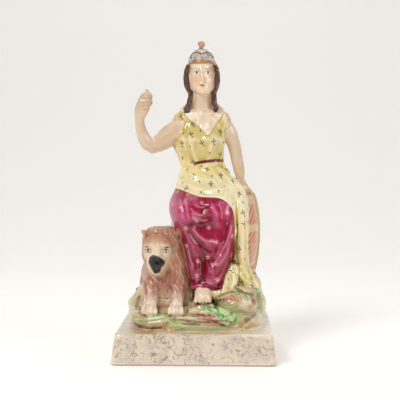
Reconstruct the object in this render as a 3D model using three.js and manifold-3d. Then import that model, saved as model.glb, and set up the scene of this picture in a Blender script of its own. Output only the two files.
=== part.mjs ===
// A seated, helmeted woman with a lion at her knee and a shield at her side, on a rocky mound and a
// square plinth: one press-moulded piece of glazed earthenware. Millimetres, +Z up, front towards -Y,
// origin under the middle of the plinth. Heights are above the foot.
import * as THREE from "three";
import { mergeVertices } from "three/addons/utils/BufferGeometryUtils.js";
import Module from "manifold-3d";

// Driving sizes of the whole piece.
const TOTAL_HEIGHT = 360;
const PLINTH = { foot: 181, top: 173, height: 34, corner: 6, edge: 1.5 };
const WAIST_HEIGHT = 216;
const BUST_HEIGHT = 244;
const BRIM_HEIGHT = 332;
const HELMET = { x: 6.4, y: 12.5, wide: 33, deep: 43, tall: 19.5, tilt: -4, roll: -4 };
const FINIAL = { radius: 3.5, stem: 1.9 };
const LION_X = -38;
const SHIELD = { x: 63, y: 22, z: 134.5, tall: 100, wide: 72, dome: 7, plate: 4.5, turn: 18 };
const GLAZE = { colour: 0xe9dfc8, roughness: 0.22, metalness: 0 };

const wasm = await Module();
wasm.setup();

// The geometry with its positions only, and its seams and poles welded shut.
function weld(geometry) {
  geometry.deleteAttribute("normal");
  geometry.deleteAttribute("uv");
  return mergeVertices(geometry, 1e-5);
}

// A closed, welded geometry as a solid that can be joined, whichever way its faces were wound.
function solid(geometry) {
  const vertProperties = new Float32Array(geometry.attributes.position.array);
  const triVerts = new Uint32Array(geometry.index.array);
  const made = new wasm.Manifold(new wasm.Mesh({ numProp: 3, vertProperties, triVerts }));
  if (made.volume() > 0) return made;
  return new wasm.Manifold(new wasm.Mesh({ numProp: 3, vertProperties, triVerts: triVerts.reverse() }));
}

// The row of numbers at t, from 0 to 1, on a smooth curve through rows of numbers.
function between(rows, t) {
  const place = t * (rows.length - 1);
  const i = Math.min(Math.floor(place), rows.length - 2);
  const f = place - i;
  const row = (n) => rows[Math.max(0, Math.min(rows.length - 1, n))];
  const [a, b, c, d] = [row(i - 1), row(i), row(i + 1), row(i + 2)];
  return b.map((value, k) => {
    const slope = (c[k] - a[k]) * f;
    const bend = (2 * a[k] - 5 * value + 4 * c[k] - d[k]) * f * f;
    const twist = (3 * value - a[k] - 3 * c[k] + d[k]) * f * f * f;
    return 0.5 * (2 * value + slope + bend + twist);
  });
}

// The geometry with each of its points moved to where place(point) says.
function reshape(geometry, place) {
  const positions = geometry.getAttribute("position");
  for (let i = 0; i < positions.count; i++) {
    const { x, y, z } = place(new THREE.Vector3().fromBufferAttribute(positions, i));
    positions.setXYZ(i, x, y, z);
  }
  return geometry;
}

// A form of level slices, reshaped from a drum. Each row is [height, left, right, front, back], square
// above 2 squares the slices up, forward crowds the facets towards the front, and relief(x, y, z) is
// how far the surface stands proud there.
function stack(rows, { sides, steps, square = 2.3, forward = 0, relief = () => 0 }) {
  const bow = (v) => Math.sign(v) * Math.abs(v) ** (2 / square);
  return reshape(weld(new THREE.CylinderGeometry(1, 1, 1, sides, steps)), (p) => {
    const [z, left, right, front, back] = between(rows, p.y + 0.5);
    const centre = new THREE.Vector3((left + right) / 2, (front + back) / 2, z);
    if (Math.hypot(p.x, p.z) < 0.5) return centre;
    const even = Math.atan2(p.x, -p.z);
    const angle = even - forward * Math.sin(even);
    const out = new THREE.Vector3(bow(Math.sin(angle)) * (right - left), -bow(Math.cos(angle)) * (back - front), 0);
    const point = centre.addScaledVector(out, 0.5);
    return point.addScaledVector(out.normalize(), relief(point.x, point.y, point.z));
  });
}

// A tapering limb with round ends, bent from a capsule. Each row is [x, y, z, radius], and flat
// squeezes or stretches it front to back.
function limb(rows, { sides, steps, flat = 1 }) {
  const path = new THREE.CatmullRomCurve3(rows.map(([x, y, z]) => new THREE.Vector3(x, y, z)));
  const frames = path.computeFrenetFrames(steps);
  return reshape(weld(new THREE.CapsuleGeometry(1, 1, 2, sides, steps)), (p) => {
    const t = THREE.MathUtils.clamp(p.y + 0.5, 0, 1);
    const n = Math.round(t * steps);
    const radius = between(rows, path.getUtoTmapping(t))[3];
    const out = frames.normals[n].clone().multiplyScalar(p.x * radius);
    out.addScaledVector(frames.binormals[n], p.z * radius);
    out.addScaledVector(frames.tangents[n], (p.y + 0.5 - t) * radius);
    out.y *= flat;
    return path.getPointAt(t).add(out);
  });
}

// An egg-shaped mass: its centre, its three half sizes, and its turn about X, Y and Z in degrees.
function ball([x, y, z], [rx, ry, rz], { turn = [0, 0, 0], detail = 5 } = {}) {
  const radians = turn.map(THREE.MathUtils.degToRad);
  return weld(new THREE.SphereGeometry(1, detail * 2, detail))
    .scale(rx, ry, rz)
    .applyMatrix4(new THREE.Matrix4().makeRotationFromEuler(new THREE.Euler(...radians, "ZYX")))
    .translate(x, y, z);
}

// Relief from strokes drawn on the front. Each stroke is { path: [[x, z], ...], wide, high }, and
// nothing behind the depth given is touched.
function strokes(list, depth) {
  const line = new THREE.Line3();
  const spot = new THREE.Vector3();
  const nearest = new THREE.Vector3();
  return (x, y, z) => {
    if (y > depth) return 0;
    spot.set(x, 0, z);
    return list.reduce((proud, { path, wide, high }) => {
      const gaps = path.slice(1).map(([bx, bz], n) => {
        line.start.set(path[n][0], 0, path[n][1]);
        line.end.set(bx, 0, bz);
        return line.closestPointToPoint(spot, true, nearest).distanceTo(spot);
      });
      return proud + high * Math.exp(-((Math.min(...gaps) / wide) ** 2));
    }, 0);
  };
}

// Rough rock: a few waves that cross at odd angles, so no two places look alike.
function craggy(high, long) {
  return (x, y, z) =>
    high * Math.sin((x + 0.7 * z) / long) * Math.sin((y - 0.4 * x + 11) / (0.8 * long)) +
    0.5 * high * Math.sin((z * 1.9 + y * 0.6) / long + 2);
}

function plinth() {
  const { foot, top, height, corner, edge } = PLINTH;
  const half = foot / 2;
  const reach = half - corner;
  const outline = new THREE.Shape();
  outline.absarc(reach, reach, corner, 0, Math.PI / 2);
  outline.absarc(-reach, reach, corner, Math.PI / 2, Math.PI);
  outline.absarc(-reach, -reach, corner, Math.PI, 1.5 * Math.PI);
  outline.absarc(reach, -reach, corner, 1.5 * Math.PI, 2 * Math.PI);
  const block = weld(new THREE.ExtrudeGeometry(outline, {
    depth: height - 2 * edge,
    bevelThickness: edge,
    bevelSize: edge,
    bevelOffset: -edge,
    bevelSegments: 1,
    curveSegments: 3,
  }));
  return reshape(block.translate(0, 0, edge), (p) => {
    const taper = 1 - (1 - top / foot) * (p.z / height);
    return p.multiply(new THREE.Vector3(taper, taper, 1));
  });
}

function mound() {
  const low = PLINTH.height - 1;
  return stack(
    [
      [low, -76, 76, -70, 83],
      [low + 5, -77, 77, -69, 83],
      [low + 12, -74, 75, -65, 82],
      [low + 19, -69, 70, -58, 80],
      [low + 25, -60, 60, -46, 74],
      [low + 29, -44, 46, -30, 60],
    ],
    { sides: 28, steps: 4, square: 3, relief: craggy(1.2, 9) },
  );
}

// The rocks behind and beside the figure, which carry her seat and the shield.
function rocks() {
  const hill = stack(
    [
      [PLINTH.height + 6, -82, 83, -8, 83],
      [54, -80, 82, -12, 82],
      [63, -74, 80, -10, 80],
      [74, -67, 76, -6, 78],
      [86, -60, 71, -3, 75],
      [100, -52, 64, 0, 71],
      [120, -42, 60, 3, 67],
      [142, -33, 55, 7, 62],
      [158, -24, 48, 12, 56],
    ],
    { sides: 22, steps: 7, square: 2.8, relief: craggy(2, 10) },
  );
  const shieldLedge = ball([65, 8, 76], [12, 17, 13], { turn: [0, 15, 0] });
  const hemBoulder = ball([45, -32, 62], [27, 19, 17], { turn: [0, 8, -15], detail: 6 });
  const footRock = ball([6, -32, 55], [21, 18, 10]);
  const leftRoll = limb(
    [
      [-69, -22, 52, 6],
      [-67, -44, 48, 7],
      [-55, -58, 45, 7.5],
      [-38, -62, 45, 7.5],
      [-24, -60, 46, 5],
    ],
    { sides: 8, steps: 6 },
  );
  const leafLump = limb(
    [
      [-3, -56, 54, 4],
      [12, -57, 51, 7],
      [28, -58, 48, 9],
      [38, -60, 46, 7],
    ],
    { sides: 8, steps: 5 },
  );
  return [hill, shieldLedge, hemBoulder, footRock, leftRoll, leafLump];
}

// The folds of the skirt that show from across a room: two shins, the sag between them, and the
// long pleats that run down and in from the outer knee.
const SKIRT_FOLDS = [
  { path: [[-14, 167], [-9, 140], [-2, 108], [5, 84]], wide: 9, high: 6 },
  { path: [[34, 167], [35, 138], [28, 108], [22, 86]], wide: 10, high: 6 },
  { path: [[10, 182], [10, 162], [8, 148]], wide: 7, high: -4 },
  { path: [[6, 126], [7, 102], [8, 80]], wide: 4.5, high: -5 },
  { path: [[-5, 139], [8, 127], [24, 127], [38, 146]], wide: 4.5, high: 3 },
  { path: [[42, 148], [31, 122], [19, 100]], wide: 3.5, high: 2.5 },
];

const FALL_FOLDS = [
  { path: [[47, 162], [46.5, 122], [47, 108], [54, 92]], wide: 4, high: -5 },
  { path: [[54, 174], [54, 142], [53, 110], [62, 88]], wide: 4.5, high: 3 },
];

function skirt() {
  const lap = stack(
    [
      [76, -2, 33, -40, 4],
      [84, -4, 36, -43, 8],
      [100, -9, 41, -42, 12],
      [120, -13, 44, -41, 16],
      [142, -23, 46.5, -40, 28],
      [158, -30.5, 48.5, -41, 44],
      [172, -31.5, 50.5, -38, 54],
      [182, -28, 52.5, -29, 56],
      [190, -24, 52.5, -18, 54],
      [199, -22.5, 44, -7, 48],
      [208, -20, 37, 0, 42],
      [WAIST_HEIGHT - 3, -17, 31, 3, 36],
      [WAIST_HEIGHT + 1, -9, 22, 10, 28],
    ],
    { sides: 36, steps: 18, square: 2.5, forward: 0.45, relief: strokes(SKIRT_FOLDS, 8) },
  );
  const fall = stack(
    [
      [68, 36, 70, -38, 2],
      [78, 38, 68, -37, 4],
      [90, 40, 63, -34, 8],
      [108, 40, 60, -31, 12],
      [132, 40, 60.5, -30, 18],
      [157, 38, 61.5, -28, 30],
      [176, 34, 61, -20, 46],
      [188, 30, 58, -12, 48],
      [198, 26, 49, -4, 45],
      [208, 20, 34, 5, 34],
    ],
    { sides: 18, steps: 10, forward: 0.4, relief: strokes(FALL_FOLDS, 8) },
  );
  const hem = limb(
    [
      [18, -42, 73, 6],
      [32, -45, 72, 7],
      [44, -40, 74, 7],
      [58, -35, 75, 6],
      [67, -28, 75, 4],
    ],
    { sides: 8, steps: 6 },
  );
  // The cloth that falls over the rock behind her.
  const behind = stack(
    [
      [98, -30, 56, 40, 76],
      [114, -33, 57, 38, 76],
      [137, -31, 56, 34, 73],
      [160, -28, 53, 28, 68],
      [182, -23, 49, 22, 61],
      [198, -18, 40, 18, 50],
      [WAIST_HEIGHT - 9, -14, 32, 16, 38],
    ],
    { sides: 24, steps: 5, square: 2.4, forward: -0.4, relief: (x, y) => (y > 40 ? 1.8 * Math.cos(x / 4.4) : 0) },
  );
  return [lap, fall, hem, behind];
}

function torso() {
  const swell = (x, z) => 6 * Math.exp(-(x * x + z * z) / 90);
  const bust = (x, y, z) => (y > 16 ? 0 : swell(x + 8, z - BUST_HEIGHT) + swell(x - 21, z - BUST_HEIGHT));
  const trunk = stack(
    [
      [200, -6, 20, 14, 27],
      [208, -12, 25, 9, 31],
      [WAIST_HEIGHT - 1, -17, 29.5, 3, 35],
      [224, -21, 30.5, 2, 35],
      [235, -27, 32.5, 0, 36],
      [BUST_HEIGHT + 2, -28, 34.5, -1, 37],
      [258, -28, 37, 3, 36],
      [269, -29, 41, 8, 33],
      [276, -25, 37.5, 9, 30],
      [280, -16, 30.5, 11, 27],
      [283, -6, 20, 12, 25],
    ],
    { sides: 20, steps: 10, forward: 0.3, relief: bust },
  );
  const neck = limb([[6.5, 19, 272, 14], [6.5, 17, 284, 12.3], [7, 15, 308, 12]], { sides: 12, steps: 3 });
  return [trunk, neck];
}

// The right arm is raised, its fist once closed on a staff, and the left arm rests on the shield.
function arms() {
  const raised = limb(
    [
      [-13, 19, 260, 13],
      [-29, 15, 251.5, 13.6],
      [-41, 9, 242.5, 11],
      [-50, 5, 238, 9.6],
      [-57.5, 2, 242, 8.4],
      [-62, -1, 251, 7.2],
      [-64.4, -4, 261, 6.1],
      [-65, -6, 270, 5.7],
      [-64, -7, 277, 6],
    ],
    { sides: 9, steps: 14 },
  );
  const lowered = limb(
    [
      [29, 21, 267, 8],
      [36.5, 21, 257, 9.6],
      [43.8, 24, 240, 8.2],
      [47, 25, 225, 7.5],
      [49.5, 25, 213, 7.2],
      [52.5, 25, 202, 6.6],
      [59, 24, 189, 5.6],
    ],
    { sides: 8, steps: 8 },
  );
  const fist = stack(
    [
      [271, -70.5, -59, -12, -1],
      [279, -70.5, -56, -14, 0],
      [285, -69, -50.5, -17, 1],
      [291, -66.5, -49, -17, 1],
      [296.5, -63.6, -50.2, -15.5, 0],
      [301, -60.5, -51.5, -12.5, -4],
      [303, -58.5, -53.5, -11, -6],
    ],
    { sides: 12, steps: 10, relief: (x, y, z) => (x > -59 && z > 280 ? Math.cos((z - 283) * 1.2) : 0) },
  );
  const restingHand = ball([61, 21, 185], [6, 8.5, 4.5], { turn: [0, 40, 0] });
  return [raised, lowered, fist, restingHand];
}

// A plain oval face with nose, brow, cheeks and chin, and the dark hair that frames it.
function head() {
  const features = [
    { path: [[7.4, 325], [8, 316]], wide: 2.4, high: 3.2 },
    { path: [[1.2, 323], [2.6, 323]], wide: 2.8, high: -1.6 },
    { path: [[12.8, 323.6], [14.2, 323.6]], wide: 2.8, high: -1.6 },
    { path: [[8.6, 301.5], [9, 302]], wide: 4, high: 1.6 },
  ];
  const face = stack(
    [
      [297.5, 3.5, 14, -4, 8],
      [300, 0.5, 17, -7, 13],
      [305, -3, 19.6, -8, 22],
      [312, -6, 21, -7.8, 28],
      [319, -7.4, 21.4, -8, 32],
      [327, -7.8, 21, -8, 34],
      [334, -7.4, 20, -6, 32],
      [339, -4, 16, 0, 26],
    ],
    { sides: 18, steps: 11, forward: 0.4, relief: strokes(features, 2) },
  );
  const backHair = limb(
    [
      [6, 24, 326, 13],
      [6, 29, 312, 13.5],
      [6, 32, 294, 10],
      [6, 35, 276, 9],
      [7, 37, 258, 5],
    ],
    { sides: 10, steps: 6 },
  );
  const lock = (rows) => limb(rows, { sides: 6, steps: 8, flat: 1.6 });
  const leftLock = lock([
    [-8, 14, 332, 2.6],
    [-9.4, 11, 321, 4],
    [-9.2, 10, 309, 4.2],
    [-6.2, 10, 298, 2.6],
    [-7, 9, 290, 2.9],
    [-11.5, 9, 281, 3],
  ]);
  const rightLock = lock([
    [21.4, 14, 332, 2.6],
    [23.2, 11, 320, 4],
    [23.2, 10, 309, 4],
    [20.4, 10, 298, 2.8],
    [20.4, 9, 290, 3.2],
    [23.4, 9, 281.5, 2.6],
  ]);
  return [face, backHair, leftLock, rightLock];
}

function helmet() {
  const { x, y, wide, deep, tall, tilt, roll } = HELMET;
  const half = wide / 2;
  const { radius, stem } = FINIAL;
  const knob = TOTAL_HEIGHT - BRIM_HEIGHT - radius;
  const reach = Math.asin(stem / radius) - Math.PI / 2;
  const profile = new THREE.Path();
  profile.moveTo(0, -3);
  profile.lineTo(half - 1.2, -3);
  profile.lineTo(half, -1.4);
  profile.absellipse(0, 0, half, tall, 0.02, 1.42, false);
  profile.lineTo(stem, tall + 0.6);
  profile.absarc(0, knob, radius, reach, Math.PI / 2, false);
  return [
    weld(new THREE.LatheGeometry(profile.getPoints(2), 18))
      .rotateX(Math.PI / 2)
      .scale(1, deep / wide, 1)
      .rotateX(THREE.MathUtils.degToRad(tilt))
      .rotateY(THREE.MathUtils.degToRad(roll))
      .translate(x, y, BRIM_HEIGHT),
  ];
}

function foot() {
  const ankle = limb([[11, -30, 86, 7], [10, -38, 79, 7.6], [9.5, -44, 73, 7]], { sides: 9, steps: 3 });
  const forefoot = ball([9, -46, 71.5], [9.8, 12, 7], { turn: [38, 0, 0] });
  const toes = [0, 1, 2, 3, 4].map((n) => {
    const size = 1 - 0.09 * n;
    return ball([17 - 4 * n, -53.5 + 0.4 * n * n, 66.5 - 0.7 * n], [2.7 * size, 4.2 * size, 3 * size], { detail: 4 });
  });
  return [ankle, forefoot, ...toes];
}

function lion() {
  const body = limb(
    [
      [LION_X, -14, 88, 20],
      [LION_X - 4, 8, 90, 21],
      [LION_X - 9, 32, 88, 20],
      [LION_X - 11, 50, 84, 19],
      [LION_X - 11, 60, 80, 15],
    ],
    { sides: 12, steps: 6 },
  );
  const haunch = ball([LION_X - 20, 46, 74], [12, 20, 20], { turn: [-12, 0, 0] });
  const hindPaw = limb([[-68, 42, 60, 7.5], [-68, 27, 57, 7], [-66, 14, 55, 6]], { sides: 8, steps: 3 });
  const tail = limb([[-44, 76, 66, 4], [-58, 70, 65, 4], [-69, 57, 64, 4], [-70, 42, 64, 5]], { sides: 7, steps: 5 });
  const tufts = (x, y, z) => Math.sin(x / 2.8 + z / 8 + Math.sin(z / 5)) * Math.sin(z / 5.5 + y / 6);
  const mane = stack(
    [
      [66, -51, -7, -42, -12],
      [76, -56, -5, -45, -6],
      [86, -57, -5, -45, 0],
      [94, -56, -6, -43, 4],
      [104, -58.5, -8, -41, 8],
      [116, -61.5, -10.5, -39, 12],
      [128, -61, -11.5, -38, 12],
      [137, -59, -14, -37, 9],
      [143, -55, -20, -33, 3],
      [146, -47, -29, -25, -6],
    ],
    { sides: 22, steps: 10, square: 2.6, forward: 0.3, relief: (x, y, z) => 1.2 * tufts(x, y, z) },
  );
  const brow = ball([-42, -36, 121], [17.5, 13, 19], { turn: [10, 0, -6], detail: 7 });
  const muzzle = ball([-42.6, -46, 106.5], [11.5, 12.5, 12.5], { turn: [-8, 0, -4], detail: 7 });
  const ears = [
    ball([-56.6, -26, 138.4], [3.6, 4, 5.6], { turn: [0, -34, 0], detail: 4 }),
    ball([-21.5, -30, 137.5], [5, 4, 4.6], { turn: [0, 25, 0], detail: 4 }),
  ];
  const foreleg = (x) => [
    limb([[x, -36, 82, 10], [x + 0.4, -46, 68, 8.2], [x, -54, 59, 7.8]], { sides: 9, steps: 4 }),
    ball([x, -57, 56], [9.4, 8, 6.6], { turn: [-10, 0, 0] }),
  ];
  return [body, haunch, hindPaw, tail, mane, brow, muzzle, ...ears, ...foreleg(-49.5), ...foreleg(-20.5)];
}

function shield() {
  const { x, y, z, tall, wide, dome, plate, turn } = SHIELD;
  const profile = new THREE.Path();
  profile.moveTo(0, -plate);
  profile.lineTo(0.94, -plate);
  profile.lineTo(1, -0.4);
  profile.lineTo(0.96, 0.8);
  profile.lineTo(0.88, 0.8);
  profile.quadraticCurveTo(0.5, dome, 0, dome);
  return [
    weld(new THREE.LatheGeometry(profile.getPoints(2), 24))
      .rotateX(Math.PI / 2)
      .scale(wide / 2, tall / 2, 1)
      .rotateX(Math.PI / 2)
      .rotateZ(THREE.MathUtils.degToRad(90 - turn))
      .translate(x, y, z),
  ];
}

function earthenware() {
  const forms = [
    plinth(),
    mound(),
    ...rocks(),
    ...skirt(),
    ...torso(),
    ...arms(),
    ...head(),
    ...helmet(),
    ...foot(),
    ...lion(),
    ...shield(),
  ];
  const joined = forms.map(solid).reduce((whole, form) => whole.add(form));
  // Pockets shut in between the forms are filled, so only the outer skin is kept.
  const outer = joined.decompose().reduce((best, shell) => (shell.volume() > best.volume() ? shell : best));
  const { vertProperties, triVerts } = outer.getMesh();
  const geometry = new THREE.BufferGeometry();
  geometry.setAttribute("position", new THREE.BufferAttribute(vertProperties, 3));
  geometry.setIndex(new THREE.BufferAttribute(triVerts, 1));
  geometry.computeVertexNormals();
  return geometry;
}

const figure = new THREE.Mesh(
  earthenware(),
  new THREE.MeshStandardMaterial({ color: GLAZE.colour, roughness: GLAZE.roughness, metalness: GLAZE.metalness }),
);
figure.name = "seated_figure_with_lion";

const group = new THREE.Group();
group.add(figure);
export default group;
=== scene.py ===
# A glazed earthenware figure: a seated, helmeted woman with a lion at her knee and a shield at her
# side, on a rocky mound and a square plinth. Tables are in millimetres, with X to the viewer's right,
# the front towards -Y and heights above the foot.
import math

import bpy
import numpy as np
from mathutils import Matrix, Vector


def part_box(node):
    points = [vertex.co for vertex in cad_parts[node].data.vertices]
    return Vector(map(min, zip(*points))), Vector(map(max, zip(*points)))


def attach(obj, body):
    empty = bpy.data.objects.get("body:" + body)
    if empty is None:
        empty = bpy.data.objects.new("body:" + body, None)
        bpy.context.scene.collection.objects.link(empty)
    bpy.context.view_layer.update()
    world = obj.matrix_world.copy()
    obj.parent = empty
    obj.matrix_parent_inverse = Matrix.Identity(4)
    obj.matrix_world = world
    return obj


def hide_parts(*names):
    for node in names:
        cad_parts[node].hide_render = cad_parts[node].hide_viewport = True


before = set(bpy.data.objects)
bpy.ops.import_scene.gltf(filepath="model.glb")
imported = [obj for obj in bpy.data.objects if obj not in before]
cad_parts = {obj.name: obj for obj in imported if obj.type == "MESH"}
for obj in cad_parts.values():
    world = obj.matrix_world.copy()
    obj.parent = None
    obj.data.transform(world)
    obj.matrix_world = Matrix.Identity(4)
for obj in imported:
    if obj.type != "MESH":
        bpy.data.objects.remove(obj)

bl_info = {
    "name": "Enamelled Earthenware Figure",
    "version": (1, 0, 0),
    "blender": (4, 5, 0),
    "location": "View3D > Sidebar > Figure",
    "description": "Models, carves, enamels and glazes a pressed earthenware figure and sets its studio",
    "category": "Object",
}

MM = 0.001
FIGURE = "glazed_figure"
CASTING = "seated_figure_with_lion"
FOOT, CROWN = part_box(CASTING)
HEIGHT = (CROWN.z - FOOT.z) / MM

# The eye's place. Outlines marked as seen are (x, z) on the plane y = 0, looked at from here.
EYE = np.array([37.0, -1157.0, 227.4])

# How far inside or outside its outline a mark on the skin still tells the distance.
FAR = 8

PLINTH_TOP = 34.0
BRIM = 332.0
KNOP_FOOT = 350
HEAD_MIDDLE = 6.6
FACE_MIDDLE = 7.5
EYE_LINE = 321.8
EYE_APART = 13
MOUTH_LINE = 307

# Clay rolled and laid on the pressed body, each as (x, y, z, radius) along its middle.
NOSE = [
    [(7.3, -8.2, 325, 1.2), (7.5, -9.8, 319, 1.4), (7.6, -11.4, 314, 1.7)],
    [(5.7, -9.2, 313.4, 1.2), (9.5, -9.2, 313.4, 1.2)],
]
LIPS = [
    [(4.5, -7.6, 308, 0.7), (7.6, -9.0, 308.6, 1.0), (10.7, -7.6, 308, 0.7)],
    [(5.1, -7.6, 306.3, 0.7), (7.6, -8.8, 305.7, 1.2), (10.1, -7.6, 306.3, 0.7)],
]
FRONT_LOCKS = [
    [(-8.6, 0, 331, 1.8), (-10.8, 1, 326, 2.4), (-11.7, 2, 316, 3.0), (-11.3, 3, 309, 2.9),
     (-9.6, 5, 303, 2.3), (-7.4, 7, 298, 1.7), (-8, 8, 291, 2.4), (-9.2, 8, 285.5, 2.4),
     (-11.6, 7, 281.8, 2.0), (-15.4, 7, 278.8, 1.1)],
    [(22, 0, 331, 1.8), (24, 1, 326, 2.4), (24.8, 2, 316, 3.1), (24.3, 3, 310, 2.9), (22.2, 5, 304, 2.0),
     (21.2, 7, 298, 2.3), (21.2, 8, 292, 2.8), (20.8, 8, 287, 2.6),
     (22.4, 7, 283.8, 2.0), (26, 7, 281.4, 1.1)],
]
SIDE_HAIR = [
    [(-7.5, 4, 330, 3), (-9.6, 8, 320, 4), (-9.2, 11, 309, 4.2), (-5.6, 16, 297, 3.2), (-6, 18, 288, 3.4)],
    [(-6.5, 12, 331, 4), (-8.6, 16, 318, 5), (-7, 19, 306, 4.6), (-3.6, 21, 295, 4.6)],
    [(20.7, 4, 330, 3), (22.8, 8, 320, 4), (22.4, 11, 309, 4.2), (18.8, 16, 297, 3.2),
     (19.2, 18, 288, 3.4)],
    [(19.7, 12, 331, 4), (21.8, 16, 318, 5), (20.2, 19, 306, 4.6), (16.8, 21, 295, 4.6)],
]
SHOULDERS = [
    [(-3, 18, 289, 5), (-9, 17, 282, 6), (-16, 17, 277, 6)],
    [(16, 18, 289, 5), (22, 17, 282, 6), (28, 17, 277, 6)],
]
CURLED_FINGERS = [
    [(-58.5, -14, 293.4, 1.9), (-54.8, -15.4, 293.4, 2.0), (-52.9, -11.5, 293.4, 1.9),
     (-53.6, -6, 293, 1.6)],
    [(-58.5, -14.5, 289.4, 2.0), (-54, -16, 289.4, 2.1), (-51.8, -11.5, 289.4, 2.0),
     (-52.6, -6, 289.2, 1.7)],
    [(-58.5, -14.5, 285.4, 2.0), (-54.2, -15.8, 285.4, 2.0), (-52, -11.5, 285.4, 1.9),
     (-52.8, -6, 285.4, 1.7)],
    [(-59, -13.5, 281.6, 1.8), (-55.8, -14.6, 281.5, 1.8), (-53.8, -11, 281.6, 1.7),
     (-54.4, -6, 281.8, 1.5)],
]
HAND_HEEL = [(-56, -9, 281, 3.8), (-58.8, -8, 276.5, 4), (-62.5, -7, 270.5, 4)]
THUMB = [
    [(-61.5, -10, 290, 2.8), (-59.4, -11.5, 296, 2.2), (-58.4, -10.5, 300.8, 1.6)],
    [(-56.4, -9, 292, 2.3), (-54.6, -10, 297, 1.9), (-53.8, -9, 299.4, 1.5)],
]
RESTING_FINGERS = [
    [(57, 13 + 4.4 * n, 189, 2.1), (62.5, 12.5 + 4.4 * n, 188.4, 2.1), (65.8, 12.5 + 4.4 * n, 182.5, 1.7)]
    for n in range(4)
]
FOOT_BONES = [
    [(10.4, -39, 81, 6.2), (9 + 0.5 * (x - 9), -47, 74.5, 4.4), (x, -54.5, 67.4, r),
     (x - 0.2, -57.4, 65.6, r * 0.9)]
    for x, r in ((1.8, 2.5), (5.9, 2.2), (9.7, 2.1), (13.3, 2.0), (16.6, 1.9))
]
SKIRT_HEM = [
    (-2.5, -35, 83, 3.4), (1.5, -42, 79.5, 3.6), (9, -45.5, 81.5, 3.6), (17, -44, 78.8, 3.8),
    (25, -41, 80.5, 3.8),
    (32, -36, 82, 3.4),
]
CLOTH_ENDS = [
    [(41, -30, 100, 6), (37, -38, 86, 6), (30, -46, 73, 4.4)],
    [(45, -31, 100, 5), (44, -38, 88, 5), (41, -45, 78, 4)],
    [(52, -28, 100, 6), (57, -34, 88, 5.4), (62, -38, 80, 4)],
    [(58, -24, 98, 5), (64, -29, 86, 5), (70.5, -31, 78, 3.4)],
]
WAIST = [
    [(29, 20, 233, 3.4), (28.6, 20, 222, 3.6), (30, 20, 214, 4), (36, 22, 205, 4.5)],
    [(-21, 16, 237, 4), (-18.4, 14, 227, 4), (-13.8, 14, 214, 4)],
]
SHIELD_RIM = [
    (63 + 11 * math.cos(turn / 10), 22 + 34 * math.cos(turn / 10), 134.5 + 49.5 * math.sin(turn / 10), 2.2)
    for turn in range(-13, 14, 2)
]
BESIDE_FOOT = [(-9, -33, 56, 8), (-8, -32, 66, 7), (-7, -30, 76, 5.5)]
BETWEEN_PAWS = [(-46, -38, 61, 8), (-26, -38, 61, 8)]
UNDER_FOOT = [(0, -50, 58, 5.2), (9, -55, 58, 5.2), (18, -51, 58, 5.2)]
LION_FEATURES = [
    [(-45.4, -59.6, 112.6, 3.0), (-42.4, -60.8, 113, 3.2), (-39.4, -59.6, 112.6, 3.0)],
    [(-42.6, -42, 129, 7), (-42.6, -49.5, 120, 6), (-42.6, -56.5, 113, 4.6)],
    [(-47, -53, 107.5, 5.6), (-45.6, -56.2, 105, 5.2)],
    [(-38.2, -53, 107.5, 5.6), (-39.4, -56.2, 105, 5.2)],
    [(-42.6, -50, 97.5, 5.6), (-42.6, -53.6, 98.2, 5.2)],
    [(-55, -41.5, 126, 3.4), (-48.5, -46.4, 126.2, 4)],
    [(-30, -41.5, 126, 3.4), (-36.5, -46.4, 126.2, 4)],
    [(-60.5, -27, 141.5, 1.6), (-57, -26, 137, 3.6)],
    [(-35, -30, 141, 4), (-24, -28, 139, 4), (-17, -25, 136, 3.6)],
]
LION_TOES = [
    [(x + dx, -60.5, 58.5, 2.9), (x + 1.12 * dx, -64.6, 53.4, 2.7)]
    for x in (-49.5, -20.5)
    for dx in (-6.0, -2.0, 2.0, 6.0)
]
LEAF_CREASES = [
    [(0, -58, 56, 1.6), (9, -62, 54, 2.8), (16, -63, 53, 3.0)],
    [(12, -60, 57, 3.0), (22, -64, 55, 4.4), (30, -65, 51, 3.6)],
    [(26, -61, 56, 3.6), (34, -65, 53, 4.6), (40, -65, 47, 3.8)],
    [(20, -66, 50, 2.6), (28, -68.5, 47, 3.6), (37, -68, 43, 3.2)],
]

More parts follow.
